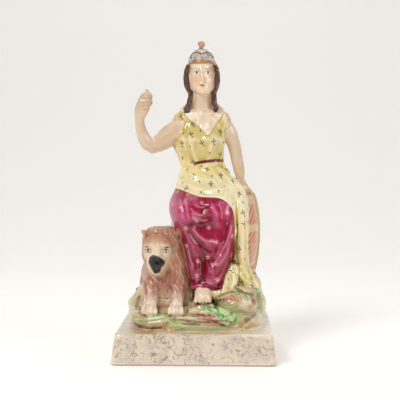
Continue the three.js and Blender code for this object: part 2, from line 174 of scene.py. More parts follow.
# Folds worked into the clay, each as (width, height, path as seen).
SKIRT_FOLDS = [
    (6.0, 1.4, [(6, 139), (24, 138)]),
    (3.4, -1.3, [(-8, 171), (-1, 165.5), (6, 163), (12, 165.5), (18, 171)]),
    (2.6, 1.1, [(-9, 166.5), (-2, 160.5), (4.5, 157.5), (11, 160), (17, 166)]),
    (3.2, -1.2, [(-7, 161.5), (-1, 155), (4.5, 152), (9, 153), (13, 156)]),
    (2.6, 1.1, [(-6, 155), (0, 149.5), (5, 147.5), (12, 149)]),
    (2.4, -0.8, [(-4, 149), (2, 144.5), (9, 144)]),
    (3.2, 1.3, [(-17, 168), (-14, 158), (-10, 152)]),
    (3.0, 1.2, [(17, 168), (22, 158), (25, 148)]),
    (2.4, -0.9, [(24, 170), (29, 160), (31, 146)]),
    (3.0, -2.2, [(-7, 138), (-1, 130), (7, 123), (16, 117)]),
    (3.2, 1.3, [(-4, 143), (4, 133.5), (13, 127), (26, 125)]),
    (2.6, 1.0, [(-9, 134), (-6, 124), (0, 113)]),
    (2.2, -1.0, [(-8, 122), (-4.5, 108), (0, 96)]),
    (2.4, 1.5, [(41, 150), (38.5, 133), (34, 117), (25, 103), (17, 94)]),
    (2.0, -1.4, [(37.5, 150), (35, 133), (30, 117), (21, 102)]),
    (2.0, 1.2, [(33, 139), (29, 122), (22, 109)]),
    (2.0, -1.1, [(43, 128), (40, 112), (32, 98), (25, 88)]),
    (2.0, 1.0, [(40.5, 113), (34, 100), (28, 88)]),
    (2.8, -1.8, [(8, 104), (8.5, 92), (10, 77)]),
    (2.2, 1.0, [(1, 101), (2, 90), (1, 76)]),
    (2.2, 1.0, [(15, 99), (16.5, 88), (16, 77)]),
    (1.8, -0.9, [(-3, 94), (-2.5, 84), (-3, 77)]),
    (1.8, -0.9, [(21.5, 96), (22.5, 86), (21.5, 76)]),
]
DRESS_FOLDS = [
    (3.0, -1.1, [(-13, 262), (-12, 250), (-9, 236), (-5, 222)]),
    (3.0, -1.1, [(28, 262), (27.5, 248), (26, 235), (23, 222)]),
    (2.6, -0.9, [(6.5, 247), (6.5, 236), (7, 223)]),
    (2.2, 0.8, [(-5, 238), (-3, 230), (0, 221)]),
    (2.2, 0.8, [(17, 238), (16, 230), (14, 222)]),
    (2.2, -0.7, [(12, 240), (11.5, 232), (10, 223)]),
    (2.2, -0.7, [(0.5, 240), (2, 231), (4, 222)]),
    (2.4, 0.9, [(-24, 240), (-19, 230), (-15, 219)]),
    (2.2, -0.8, [(-28, 244), (-23, 238), (-15, 235)]),
    (2.2, -0.8, [(-27, 239), (-21, 233), (-13, 230)]),
    (3.0, 1.4, [(-20, 197), (-8, 191.5), (4, 187.5), (18, 186), (30, 187)]),
    (2.4, -1.2, [(-19, 192.5), (-8, 187), (5, 183), (18, 182), (31, 182.5)]),
    (2.4, -1.1, [(-17, 202), (-5, 198), (8, 194), (20, 192.5)]),
    (2.0, 0.9, [(-14, 207), (-3, 204), (9, 200), (20, 198)]),
    (2.0, -0.9, [(4, 213), (12, 206), (22, 201), (33, 193)]),
    (2.2, 1.0, [(26, 214), (33, 205), (41, 194), (47, 182)]),
    (2.2, -1.1, [(22, 213), (29, 203), (37, 191), (43, 178)]),
    (2.2, -1.0, [(30, 213), (38, 203), (46, 192), (51, 180)]),
]
FALL_FOLDS = [
    (2.6, -0.6, [(47, 172), (47.5, 150), (46.5, 128), (47.5, 106), (51, 92)]),
    (2.8, 1.0, [(54, 176), (54.5, 150), (53.5, 126), (55, 105), (60, 88)]),
    (1.8, 1.1, [(44.5, 111), (47.5, 95.4), (55.4, 83.4), (68.4, 74.5)]),
    (2.0, -1.2, [(59, 168), (59, 148), (58.5, 126), (60, 104), (66, 84)]),
    (2.0, 1.0, [(50.5, 160), (50.5, 140), (50, 118), (52.5, 98)]),
    (2.2, -1.2, [(38, 92), (39.5, 84), (38, 72)]),
    (2.4, 1.2, [(43, 96), (44.5, 85), (46, 76)]),
    (2.0, -1.0, [(55, 88), (58, 80), (62, 74)]),
    (2.0, 1.0, [(30, 76), (33, 71), (31, 67)]),
    (2.0, -1.0, [(26, 75), (27, 70), (25, 67)]),
]
LION_CREASES = [
    (1.8, -1.2, [(-46.4, 112), (-46.4, 106), (-46.4, 101)]),
    (1.5, -1.3, [(-55, 101), (-51, 96.5), (-46.4, 98.5), (-42, 96.5), (-37.5, 101)]),
    (2.6, -1.2, [(-46, 138), (-46, 130), (-46, 122)]),
    (3.0, -1.6, [(-58.5, 117.5), (-55, 117.5)]),
    (3.0, -1.6, [(-38, 117), (-34, 117)]),
    (1.3, 0.9, [(-60, 116), (-56.5, 118.6), (-52.6, 116)]),
    (1.3, 0.9, [(-40, 115.6), (-36.4, 118.2), (-32.6, 116)]),
]
GROUND_CUTS = [
    (1.6, -1.1, [(-30, 36), (-5, 34), (15, 33.5), (36, 35)]),
    (1.4, 0.8, [(-28, 39), (-8, 37.5), (8, 38)]),
    (1.4, -0.9, [(-12, 41.5), (2, 40.5), (16, 39)]),
    (1.5, -1.0, [(-24, 31.5), (0, 29.5), (24, 29.5), (44, 31)]),
    (1.6, -1.0, [(-16, 62), (-15, 52), (-18, 42)]),
    (1.4, -0.9, [(-12, 64), (-10, 54), (-10, 45)]),
    (1.4, 0.8, [(-14, 60), (-12.5, 50), (-14, 41)]),
    (1.8, -1.2, [(52, 28), (60, 33), (70, 43)]),
    (1.5, -1.0, [(-72, 38), (-52, 40), (-34, 44)]),
    (1.5, -0.9, [(-66, 33), (-48, 34), (-32, 39)]),
]

# Painted outlines as seen.
CLOTH_EDGE = [
    (16, 74), (19, 70), (22.5, 65.5), (31.5, 67), (40.5, 71), (44, 76), (48, 78), (53, 76),
    (62, 74.5), (71, 73),
]
OVERSKIRT_HEM = [
    (-60, 192), (-24, 188.5), (-14.5, 185.5), (-4, 181.5), (6, 178.5), (16.5, 178), (27, 177), (35, 172.5),
    (40.5, 166.5), (43.5, 158), (44.5, 147), (44.5, 131.5), (44, 110.5), (40.5, 102), (37, 94),
    (33, 83.5), (32.5, 70),
]
NECKLINE = [
    (-15, 282), (-14, 277), (-12.5, 272.5), (-8.5, 268.5), (0, 262.4), (8.5, 254.5), (13.5, 249.5),
    (19, 256), (24.5, 264), (29, 271), (32, 282),
]
COLLAR = 276.6
STRAP = [(-27, 282), (-15, 282), (-14, 277), (-12.5, 272.5), (-16, 268), (-20, 269), (-23, 273)]
LEFT_SLEEVE = [(-27, 282), (-22, 272), (-18.5, 266), (-17.5, 258), (-19.5, 249), (-30, 236.5)]
RIGHT_SLEEVE = [(31, 282), (33.5, 274), (34.5, 264), (33.8, 252), (33, 241)]
FOREARM_EDGE = [(31, 226), (33.5, 215), (42.6, 204.8), (52, 196.5), (58.5, 190), (62, 185)]
LION_FACE = [
    (-60.5, 116), (-58, 122), (-51, 129), (-43, 129), (-34, 122.5), (-29, 114), (-30, 104), (-34, 95),
    (-40, 87.5), (-50, 86.5), (-58.5, 95), (-61, 106),
]
LION_MUZZLE = [
    (-54, 108.9), (-50.5, 111), (-45, 110), (-40.8, 107.7), (-36.3, 104), (-37.2, 99.6),
    (-40, 96.8), (-41.8, 92),
    (-45, 89.8), (-49, 90.2), (-52.6, 97), (-55.2, 102.7),
]
BELT = [(-0.5, 217.8), (9, 219.6), (19.5, 220.8), (30, 221.2)]
SPRIG_PLACES = [
    (-17.2, 272), (-5.7, 251.4), (28.2, 254.3), (-16.1, 241), (7.2, 242.1), (20.8, 241.8), (27.8, 227),
    (-3.9, 218.9), (13.1, 210), (35.2, 209.3), (-2.8, 203.4), (28.9, 203.4), (18.2, 194), (-11.6, 188.6),
    (43, 196.7), (49.6, 182), (55, 160), (49.5, 117), (29.5, 71.5), (54, 80), (42, 94),
]
BUD_PLACES = [
    (-14.6, 252.1), (3.1, 255.5), (-6.5, 235.9), (15.3, 229.2), (-14.6, 221.8), (-16.8, 212.2), (6, 213.7),
    (26.7, 214.5), (-10.5, 209.3), (18.2, 202.4), (4.2, 196), (-16.1, 194.5), (33.4, 190.8), (6.4, 183.5),
    (26, 184.9), (55, 172), (48, 132.5), (38, 82.5),
]
STAR_PLACES = [
    (-20, 166.5), (6.5, 173), (35.5, 160), (-11.5, 141.5), (16, 142.5), (25, 126.5), (13.5, 108.5),
    (2, 105), (22.5, 101.5), (25, 82.5), (1, 87),
]

# Where the skirt's enamel runs thin on a ridge, laid as painted highlights, or lies thick, laid as painted
# shade and the painted shadow beside the lion, each as (half width, path as seen).
SKIRT_THIN_HIGHLIGHTS = [
    (1.7, [(-18.5, 175), (-17, 165), (-15.5, 155)]),
    (1.6, [(-12.5, 176), (-11, 166), (-8.5, 154)]),
    (1.2, [(-6, 165), (-1, 160), (4, 157.5), (9, 159), (13.5, 164)]),
    (1.3, [(-5, 159), (1, 154), (7, 151.5), (12.5, 152)]),
    (1.0, [(-1, 170), (5, 166.5), (11, 168)]),
    (1.8, [(18.5, 170), (21, 164), (25, 157)]),
    (1.2, [(27, 172), (29.5, 163), (30, 155)]),
    (1.6, [(34.5, 163.5), (37, 159)]),
    (1.4, [(41.5, 145), (38, 133), (33.5, 122), (27, 110), (19, 98)]),
    (1.1, [(38, 120), (33, 108), (26, 99)]),
    (1.5, [(-3, 141), (4, 133), (13, 127.5), (24, 126)]),
    (1.1, [(-9, 118), (-7, 108), (-3, 98)]),
    (1.5, [(12, 80), (19, 78.5), (27, 82)]),
]
# Painted shade in the skirt's folds and the painted shadow beside the lion, where the crimson also lies
# thick.
SKIRT_THICK_SHADE = [
    (5, [(-11.5, 144), (-9.5, 121), (-6, 101), (-3.5, 82)]),
    (2.4, [(-5, 133), (2, 126), (8, 121)]),
    (5.0, [(9, 119), (12, 106), (9, 94)]),
    (2.6, [(2, 86), (9, 83)]),
    (3.0, [(-13, 138), (-10, 112), (-6, 90)]),
    (2.2, [(20, 122), (24, 116), (22, 108)]),
    (2.0, [(36, 152), (34, 138), (28, 124)]),
    (4.0, [(-14, 146), (4, 147), (22, 148)]),
]

# Brush strokes on the rocks as seen, each as (enamel, half width, path).
GROUND_STROKES = [
    ("olive", 6.5, [(-71, 40), (-60, 36), (-50, 35.5), (-36, 38)]),
    ("olive", 3.5, [(-30, 29), (-11, 26.5), (8, 25.5), (30, 26)]),
    ("olive", 4.0, [(-21, 50), (-24, 42), (-30, 34)]),
    ("olive", 4.0, [(47, 52), (55, 45), (60, 38)]),
    ("olive", 5.0, [(68, 66), (73, 55), (72, 44)]),
    ("leaf", 1.6, [(-60, 39), (-50, 37), (-38, 40)]),
    ("leaf", 1.3, [(-32, 33), (-24, 29.5), (-12, 28)]),
    ("leaf", 4.0, [(26, 43), (36, 38), (44, 36)]),
    ("rock", 0.9, [(-9.5, 70), (-10, 62), (-13, 52), (-14, 45)]),
    ("rock", 0.8, [(-5.5, 66), (-7, 58), (-10, 47)]),
    ("rock", 0.7, [(-2.5, 62), (-4, 55), (-6, 48)]),
    ("olive", 3.0, [(-46, 62), (-38, 63), (-31, 62)]),
    ("green", 1.3, [(41.7, 67.6), (50, 68.5), (57, 66.4), (60, 59)]),
    ("green", 2.0, [(66, 84), (70, 76), (72, 66)]),
    ("olive", 3.0, [(-70, 66), (-74, 54)]),
    ("leaf", 5.5, [(8, 50), (20, 48), (33, 46), (44, 40)]),
    ("green", 1.3, [(3.5, 52), (14, 48.5), (24, 42), (31, 35), (44, 33.5), (47.5, 39)]),
    ("green", 1.4, [(14, 51), (24, 49.5), (27, 43), (35, 40), (42, 44)]),
    ("brown", 1.6, [(-72, 31.5), (-63.3, 25.5), (-51.5, 24.2), (-41, 26.5)]),
    ("brown", 1.2, [(-67, 44.5), (-62, 41), (-57, 39)]),
    ("brown", 0.9, [(-18.5, 35.7), (0.4, 33.4), (14, 32.8), (31, 33.4)]),
    ("pink", 4.0, [(2, 41), (12, 39), (24, 36)]),
    ("brown", 0.9, [(0.4, 42.8), (7, 41.5), (14, 41.6), (22, 39)]),
    ("brown", 0.8, [(7.5, 36.3), (18, 35.2), (28, 34.5)]),
    ("brown", 3.2, [(65.5, 64), (66, 57), (64, 50)]),
    ("brown", 2.0, [(69, 43), (61, 37), (53, 32)]),
    ("brown", 1.6, [(46, 73), (54, 69), (62, 66)]),
    ("brown", 1.2, [(23, 62), (33, 66), (43, 69)]),
    ("brown", 2.2, [(-66, 62), (-70, 50)]),
    ("brown", 2.0, [(-6, 52), (4, 53.5), (14, 54), (20, 57)]),
    ("dark", 2.6, [(-12, 71), (-9, 64), (-6.5, 58)]),
    ("dark", 1.4, [(-16, 62), (-16, 54), (-18, 47)]),
    ("dark", 0.8, [(-16, 30.5), (-6, 29.8), (4, 29.9)]),
    ("dark", 0.8, [(-13, 33), (-4, 31.6), (6, 31.8)]),
    ("dark", 0.9, [(-31, 40), (-26, 42), (-23, 44)]),
    ("dark", 1.0, [(53, 96), (58, 93), (68, 99)]),
    ("dark", 1.2, [(-2, 54), (6, 54.5), (14, 56)]),
    ("dark", 0.9, [(58.8, 106), (59.6, 96), (63, 90), (67, 89), (70, 91), (74, 85)]),
    ("dark", 3.2, [(-8, 74), (-6, 66), (-4, 60)]),
    ("pink", 3.6, [(34, 59), (42, 61), (51, 60)]),
    ("pink", 4.0, [(-38.5, 55), (-38, 49)]),
    ("pink", 1.8, [(2, 45), (12, 43.5), (20, 42)]),
    ("pink", 1.6, [(6, 31), (18, 30), (30, 31)]),
    ("pink", 2.6, [(60, 55), (63, 47)]),
    ("ochre", 2.4, [(-76, 26), (-64, 20.5), (-46, 20.5), (-20, 20), (10, 19.5), (40, 20.5),
     (60, 27), (72, 36)]),
    ("ochre", 3.4, [(-50, 24), (-40, 23.5), (-30, 24)]),
    ("ochre", 2.4, [(45, 30), (56, 34)]),
    ("ochre", 2.0, [(20, 62), (24, 54), (32, 52)]),
]

# How strongly each enamel of the ground is laid on, in order.
STROKE_STRENGTHS = {
    "ochre": 0.8, "pink": 0.75, "olive": 0.8, "leaf": 0.95,
    "green": 0.8, "brown": 0.8, "dark": 0.75, "rock": 0.9,
}

# Where each enamel lies: rolls of (x, y, z, radius), and drums of [z, left, right, front, back].
LION_ROLLS = [
    [(-38, -14, 88, 20), (-42, 8, 90, 21), (-47, 32, 88, 20), (-49, 50, 84, 19), (-49, 60, 80, 15)],
    [(-58, 34, 74, 11), (-58, 58, 76, 13)],
    [(-68, 42, 60, 7.5), (-66, 14, 55, 6)],
    [(-44, 76, 66, 4), (-58, 70, 65, 4), (-69, 57, 64, 4), (-70, 42, 64, 5)],
    [(-43, -34, 130, 14), (-42, -35, 114, 14)],
    [(-42.6, -48, 106.5, 12), (-42.6, -44, 124, 8)],
    [(-42, -54, 116, 6), (-42, -56, 98, 6)],
    [(-56.6, -26, 138.4, 4.6)],
    [(-21.5, -30, 137.5, 4.6)],
] + [[(x, -36, 82, 10), (x + 0.4, -46, 68, 8.2), (x, -54, 59, 7.8),
(x, -58, 56, 8.4)] for x in (-49.5, -20.5)]
MANE = [
    (66, -51, -7, -42, -12), (86, -57, -5, -45, 0), (104, -58.5, -8, -41, 8),
    (128, -61, -11.5, -38, 12), (146, -47, -29, -25, -6),
]
LAP = [
    (76, -5, 34, -44, 4), (84, -6, 36, -44, 8), (100, -9, 41, -42, 12), (120, -13, 44, -41, 16),
    (142, -23, 46.5, -40, 28), (158, -30.5, 48.5, -41, 44), (172, -31.5, 50.5, -38, 54),
    (182, -28, 52.5, -29, 56), (190, -24, 52.5, -18, 54), (199, -22.5, 44, -7, 48), (213, -17, 31, 3, 36),
]
FALL = [
    (68, 36, 70, -38, 2), (90, 40, 63, -34, 8), (132, 40, 60.5, -30, 18), (176, 34, 61, -20, 46),
    (198, 26, 49, -4, 45), (208, 20, 34, 5, 34),
]
BEHIND = [(98, -30, 56, 40, 76), (137, -31, 56, 34, 73), (182, -23, 49, 22, 61), (207, -14, 32, 16, 38)]
TRUNK = [
    (208, -12, 25, 9, 31), (216, -17, 29.5, 3, 35), (235, -27, 32.5, -2, 36), (246, -28, 34.5, -4, 37),
    (258, -28, 37, 3, 36), (269, -29, 41, 8, 33), (276, -25, 37.5, 9, 30), (283, -6, 20, 12, 25),
]
HEM_ROLLS = WAIST + CLOTH_ENDS + [
    [(18, -42, 73, 6), (32, -45, 72, 7), (44, -40, 74, 7), (58, -35, 75, 6), (67, -28, 75, 4)],
]
FLESH_ROLLS = [
    [(-13, 19, 260, 12), (-29, 15, 251.5, 13.6), (-41, 9, 242.5, 11), (-50, 5, 238, 9.6),
     (-57.5, 2, 242, 8.4),
     (-62, -1, 251, 7.2), (-65, -6, 270, 5.7), (-62, -8, 279, 7.5), (-58, -9, 292, 7.5)],
    [(33, 21, 262, 9), (36.5, 21, 257, 9.6), (43.8, 24, 240, 8.2), (49.5, 25, 213, 7.2), (59, 24, 189, 5.6),
     (64, 19, 186, 5)],
    [(6.5, 19, 272, 14), (6.5, 17, 284, 12.3), (7, 15, 308, 12)],
    [(10.4, -42, 77, 5), (9.5, -48, 72, 7.5), (9, -54, 69.5, 7)],
    [(6.5, 16, 276, 14), (6.5, 17, 280, 12)],
    HAND_HEEL,
] + SHOULDERS + RESTING_FINGERS + FOOT_BONES
FACE = [(296.5, 2, 14, -4, 10), (305, -5.5, 20.4, -8, 20), (319, -8.8, 21.8, -8, 26),
(336, -8.4, 21, -6, 26)]
HAIR_ROLLS = SIDE_HAIR + FRONT_LOCKS + [
    [(6, 24, 328, 15), (6, 29, 312, 13.5), (6, 32, 294, 10), (6, 35, 276, 9), (7, 37, 258, 5)],
    [(-8, 14, 332, 2.6), (-9.4, 11, 321, 4.6), (-9.2, 10, 309, 4.6), (-6.2, 10, 298, 2.6),
     (-11.5, 9, 281, 3)],
    [(21.4, 14, 332, 2.6), (23.2, 11, 320, 4.6), (23.2, 10, 309, 4.6), (20.4, 10, 298, 2.8),
     (23.4, 9, 281.5, 2.6)],
]
HELM = [(329, -10.1, 22.9, -9, 34), (340, -8, 21, -5, 30), (351, -1, 14, 5, 20)]
HILL = [
    (40, -82, 83, -8, 83), (63, -74, 80, -10, 80), (86, -60, 71, -3, 75), (120, -42, 60, 3, 67),
    (158, -24, 48, 12, 56),
]
MOUND = [(33, -76, 76, -70, 83), (45, -74, 75, -65, 82), (52, -69, 70, -58, 80), (62, -44, 46, -30, 60)]
ROCK_ROLLS = [
    [(30, -32, 62, 17), (58, -32, 60, 16)],
    [(65, 0, 74, 11), (66, 16, 76, 12)],
    [(-2, -34, 54, 10), (14, -34, 54, 10)],
    [(-69, -22, 52, 6), (-67, -44, 48, 7), (-55, -58, 45, 7.5), (-24, -60, 46, 5)],
    [(-3, -56, 54, 4), (12, -59, 52, 7), (28, -61, 49, 9), (38, -62, 46, 8)],
    UNDER_FOOT,
    BETWEEN_PAWS,
    BESIDE_FOOT,
]
SHIELD = {"centre": (63, 22, 134.5), "tall": 100, "wide": 72, "turn": 18}


def linear(code):
    """The linear colour of an sRGB hex code."""
    parts = [int(code[i : i + 2], 16) / 255 for i in (1, 3, 5)]
    return [c / 12.92 if c <= 0.04045 else ((c + 0.055) / 1.055) ** 2.4 for c in parts] + [1.0]


def colour(name, code, description):
    """A colour setting with its default as an sRGB hex code."""
    return bpy.props.FloatVectorProperty(
        name=name, description=description, subtype="COLOR", size=4, min=0, max=1, default=linear(code)
    )


def length(name, value, description):
    """A length setting, given in millimetres."""
    return bpy.props.FloatProperty(
        name=name, description=description, default=value * MM, unit="LENGTH", precision=5
    )


def times(name, value, description):
    """A setting that is a whole number."""
    return bpy.props.IntProperty(name=name, description=description, default=value, min=0)


def strength(name, value, description, unit="NONE"):
    """The strength of a light or a glow."""
    return bpy.props.FloatProperty(name=name, description=description, default=value, min=0, unit=unit)


class FIGURE_PG_clay(bpy.types.PropertyGroup):
    grain: length("Clay grain", 0.75, "Size of the smallest form that the pressed clay holds")
    slip: times("Slip coats", 14, "How often slip softens the joins")
    wear: times("Edge wear", 40, "How often the plinth's edges are sponged")
    hem: length("Hem thickness", 0.9, "How far the overskirt stands proud of the skirt")
    wobble: length("Unevenness", 0.25, "How far the hand-finished faces of the plinth wander")
    limit: times("Triangle limit", 196000, "Most triangles in the figure")


class FIGURE_PG_enamels(bpy.types.PropertyGroup):
    # The cream is also laid as painted highlights on ridges and edges.
    ware: colour("Glazed ware", "#F6EAD2", "Cream body seen through the clear glaze")
    white: colour("White", "#F7F2E6", "Whites of the eyes")
    flesh: colour("Flesh", "#E8CFB2", "Thin peach wash over the cream body")
    # Painted shade under the chin, round the eyes and on the arms.
    flesh_shade: colour("Flesh shade", "#C2A486", "Peach where it lies under chin and brows")
    # Also laid as pink painted shade in the hollows of the skin.
    blush: colour("Blush", "#DF9A78", "Pink on the cheeks and between the fingers")
    lips: colour("Lips", "#C5664E", "Coral lips")
    hair: colour("Hair", "#4A2A22", "Purple-brown hair and brows")
    hair_light: colour("Hair light", "#8E6452", "Hair where the enamel runs thin")
    dress: colour("Dress", "#EBD98F", "Lemon ground of the dress")
    # Also laid as painted shade in the dress's folds.
    dress_shade: colour("Dress shade", "#B39A4A", "Lemon where it pools in the folds")
    skirt: colour("Skirt", "#A01640", "Crimson skirt")
    # Laid in random patches and as painted highlights on the skirt's ridges.
    skirt_light: colour("Skirt light", "#C85480", "Crimson where it thins over the ridges")
    # Painted highlights on the skirt's ridges, where the crimson is thinnest.
    skirt_bloom: colour("Skirt bloom", "#E0869E", "Crimson where it is thinnest on a ridge")
    # Also laid as painted shade in the skirt's folds and the painted shadow beside the lion.
    skirt_shade: colour("Skirt shade", "#680212", "Crimson where it pools in the folds")
    belt: colour("Belt", "#6A1024", "Deep crimson belt")
    sprig: colour("Sprig", "#26401C", "Green leaves on the dress")
    sprig_brown: colour("Brown sprig", "#3E2C10", "Brown leaves on the dress")
    star: colour("Star", "#F8C4B0", "Pale stars on the skirt")
    outline: colour("Outline", "#94582E", "Brown line round the neck and straps")
    lion: colour("Lion", "#B67C60", "Pinkish brown coat")
    # Also laid as painted shade in the lion's hollows.
    lion_dark: colour("Lion dark", "#7E4A38", "Brushed darker locks")
    lion_pink: colour("Lion pink", "#AE6E66", "Pinker chest")
    # Also laid as painted highlights on the lion's ridges.
    lion_face: colour("Lion face", "#E2C6A2", "Tan thinning to cream on the face")
    paw: colour("Paw", "#F0DDC4", "Cream paws and brow")
    # Also laid as painted shade in the hollows of the hair.
    black: colour("Black", "#16130F", "Muzzle, eyes and pupils")
    helmet: colour("Helmet", "#D0C4B4", "Grey-white helmet")
    helmet_tan: colour("Helmet tan", "#8E704C", "Tan of the brim's upper side")
    helmet_line: colour("Helmet grey", "#807872", "Grey brush marks")
    helmet_dark: colour("Helmet dark", "#553628", "Dark outlines of the arches")
    gold: colour("Brim", "#BE7C2C", "Ochre brim line")
    finial: colour("Knop", "#C48A74", "Salmon knop")
    shield: colour("Shield", "#C25A2A", "Orange fields of the shield")
    shield_pale: colour("Shield pale", "#DAB684", "Pale strokes and bands of the shield")
    green: colour("Ground green", "#4C9A56", "Bright copper green")
    olive: colour("Ground olive", "#B1B47C", "Olive green wash")
    leaf: colour("Leaf green", "#BADA94", "Yellow-green leaves")
    brown: colour("Ground brown", "#8E5438", "Red-brown strokes")
    # Also laid as painted shade in the hollows of the rocks.
    dark: colour("Ground dark", "#5E4A30", "Dark olive-brown strokes")
    pink: colour("Ground pink", "#D89A82", "Pink wash")
    ochre: colour("Ground ochre", "#DAA854", "Ochre wash at the foot of the rocks")
    rock: colour("Ground", "#CEBC8E", "Greyed olive cream of the rocks")
    plinth: colour("Plinth", "#DFD0BE", "Pale pinkish grey ground of the marbling")
    vein: colour("Vein", "#938E55", "Olive veins")
    vein_grey: colour("Grey vein", "#9A8A88", "Mauve-grey veins")
    vein_dark: colour("Dark vein", "#6A6048", "Dark veins and the foot line")


class FIGURE_PG_glaze(bpy.types.PropertyGroup):
    roughness: bpy.props.FloatProperty(
        name="Roughness", description="Of the fired glaze", default=0.12, min=0, max=1, subtype="FACTOR"
    )
    ior: bpy.props.FloatProperty(name="IOR", description="Of the lead glaze", default=1.6, min=1, max=2.5)
    ripple: length("Ripple", 0.05, "Height of the slow ripples in the glaze")


class FIGURE_PG_studio(bpy.types.PropertyGroup):
    lens: bpy.props.FloatProperty(name="Lens", description="Focal length", default=90, unit="CAMERA")
    eye: bpy.props.FloatVectorProperty(
        name="Eye", description="Place of the camera", subtype="TRANSLATION", default=[v * MM for v in EYE]
    )
    key: strength("Key light", 22, "Large soft light from the left", "POWER")
    fill: strength("Fill light", 8, "Soft light from the right", "POWER")
    top: strength("Top light", 9.5, "Soft light above", "POWER")
    room: strength("Room", 0.22, "Light of the pale room")
    horizon: strength("Horizon", 0.97, "Brightness of the room behind the paper")
    glow: strength("Paper glow", 0.23, "Light that comes through the paper")
    backdrop: colour("Backdrop", "#F4F1EE", "Plain pale paper")


# Measuring

def read_mesh(mesh):
    """The points of a mesh in millimetres and their normals."""
    points = np.empty(len(mesh.vertices) * 3)
    mesh.vertices.foreach_get("co", points)
    normals = np.empty(len(mesh.vertices) * 3)
    mesh.vertex_normals.foreach_get("vector", normals)
    return points.reshape(-1, 3) / MM, normals.reshape(-1, 3)


def write_points(mesh, points):
    """Moves the points of a mesh, given in millimetres."""
    mesh.vertices.foreach_set("co", (points * MM).ravel())
    mesh.update()


def seen(points):
    """Where points appear on the plane y = 0 from the eye, as (x, z)."""
    nearness = -EYE[1] / (points[:, 1] - EYE[1])
    return EYE[[0, 2]] + (points[:, [0, 2]] - EYE[[0, 2]]) * nearness[:, None]


def curved(path, steps=6):
    """Points on a smooth curve through the points of a path."""
    path = np.asarray(path, float)
    rows = np.vstack([2 * path[0] - path[1], path, 2 * path[-1] - path[-2]])
    t = np.linspace(0, 1, steps, endpoint=False)[:, None]
    spans = [
        0.5 * (2 * b + (c - a) * t + (2 * a - 5 * b + 4 * c - d) * t**2 + (3 * b - a - 3 * c + d) * t**3)
        for a, b, c, d in zip(rows, rows[1:], rows[2:], rows[3:])
    ]
    return np.vstack(spans + [path[-1:]])


def path_gap(spots, path):
    """How far each spot is from a path."""
    gap = np.full(len(spots), np.inf)
    for a, b in zip(path, path[1:]):
        along = b - a
        t = np.clip(((spots - a) @ along) / max(along @ along, 1e-9), 0, 1)
        gap = np.minimum(gap, np.linalg.norm(spots - a - t[:, None] * along, axis=1))
    return gap


def outline_field(spots, outline):
    """How far each spot lies inside a closed outline, less than 0 outside it."""
    ring = np.vstack([outline, outline[:1]]).astype(float)
    within = np.zeros(len(spots), bool)
    x, z = spots.T
    for (ax, az), (bx, bz) in zip(ring, ring[1:]):
        if az != bz:
            within ^= ((az > z) != (bz > z)) & (x < (bx - ax) * (z - az) / (bz - az) + ax)
    return np.where(within, 1, -1) * path_gap(spots, ring)


def roll_gap(points, roll):
    """How far each point is from a tapering roll of clay."""
    rows = np.asarray(roll, float)
    if len(rows) == 1:
        return np.linalg.norm(points - rows[0, :3], axis=1) - rows[0, 3]
    gap = np.full(len(points), np.inf)
    for a, b in zip(rows, rows[1:]):
        along = b[:3] - a[:3]
        t = np.clip(((points - a[:3]) @ along) / (along @ along), 0, 1)
        out = np.linalg.norm(points - a[:3] - t[:, None] * along, axis=1)
        gap = np.minimum(gap, out - a[3] - t * (b[3] - a[3]))
    return gap


def drum_gap(points, drum, square=2.4):
    """How far each point is from a drum of level slices."""
    rows = np.asarray(drum, float)
    z = np.clip(points[:, 2], rows[0, 0], rows[-1, 0])
    left, right, front, back = (np.interp(z, rows[:, 0], rows[:, n]) for n in range(1, 5))
    wide, deep = (right - left) / 2, (back - front) / 2
    across = np.abs(points[:, 0] - (left + right) / 2) / wide
    through = np.abs(points[:, 1] - (front + back) / 2) / deep
    out = ((across**square + through**square) ** (1 / square) - 1) * np.minimum(wide, deep)
    above = np.abs(points[:, 2] - z)
    return np.where(above > 0, np.hypot(np.maximum(out, 0), above), out)


def form_gap(points, rolls=(), drums=()):
    """How far each point is from the nearest of some rolls and drums of clay."""
    gaps = [roll_gap(points, roll) for roll in rolls] + [drum_gap(points, drum) for drum in drums]
    return np.min(gaps, axis=0)


def shield_gap(points):
    """How far each point is from the shield's plate, and its place on it as (across, up) from -1 to 1."""
    turn = math.radians(SHIELD["turn"])
    away = points - np.array(SHIELD["centre"])
    out = away[:, 0] * math.cos(turn) - away[:, 1] * math.sin(turn)
    across = (away[:, 0] * math.sin(turn) + away[:, 1] * math.cos(turn)) / (SHIELD["wide"] / 2)
    up = away[:, 2] / (SHIELD["tall"] / 2)
    rim = (np.hypot(across, up) - 1) * SHIELD["wide"] / 2
    return np.maximum(np.abs(out - 1.5) - 6, rim), across, up


def brim_rise(points):
    """How far each point is above the lower edge of the helmet's brim."""
    return points[:, 2] - BRIM - 1.2 + 0.009 * np.clip(np.abs(points[:, 0] - HEAD_MIDDLE), 0, 17) ** 2


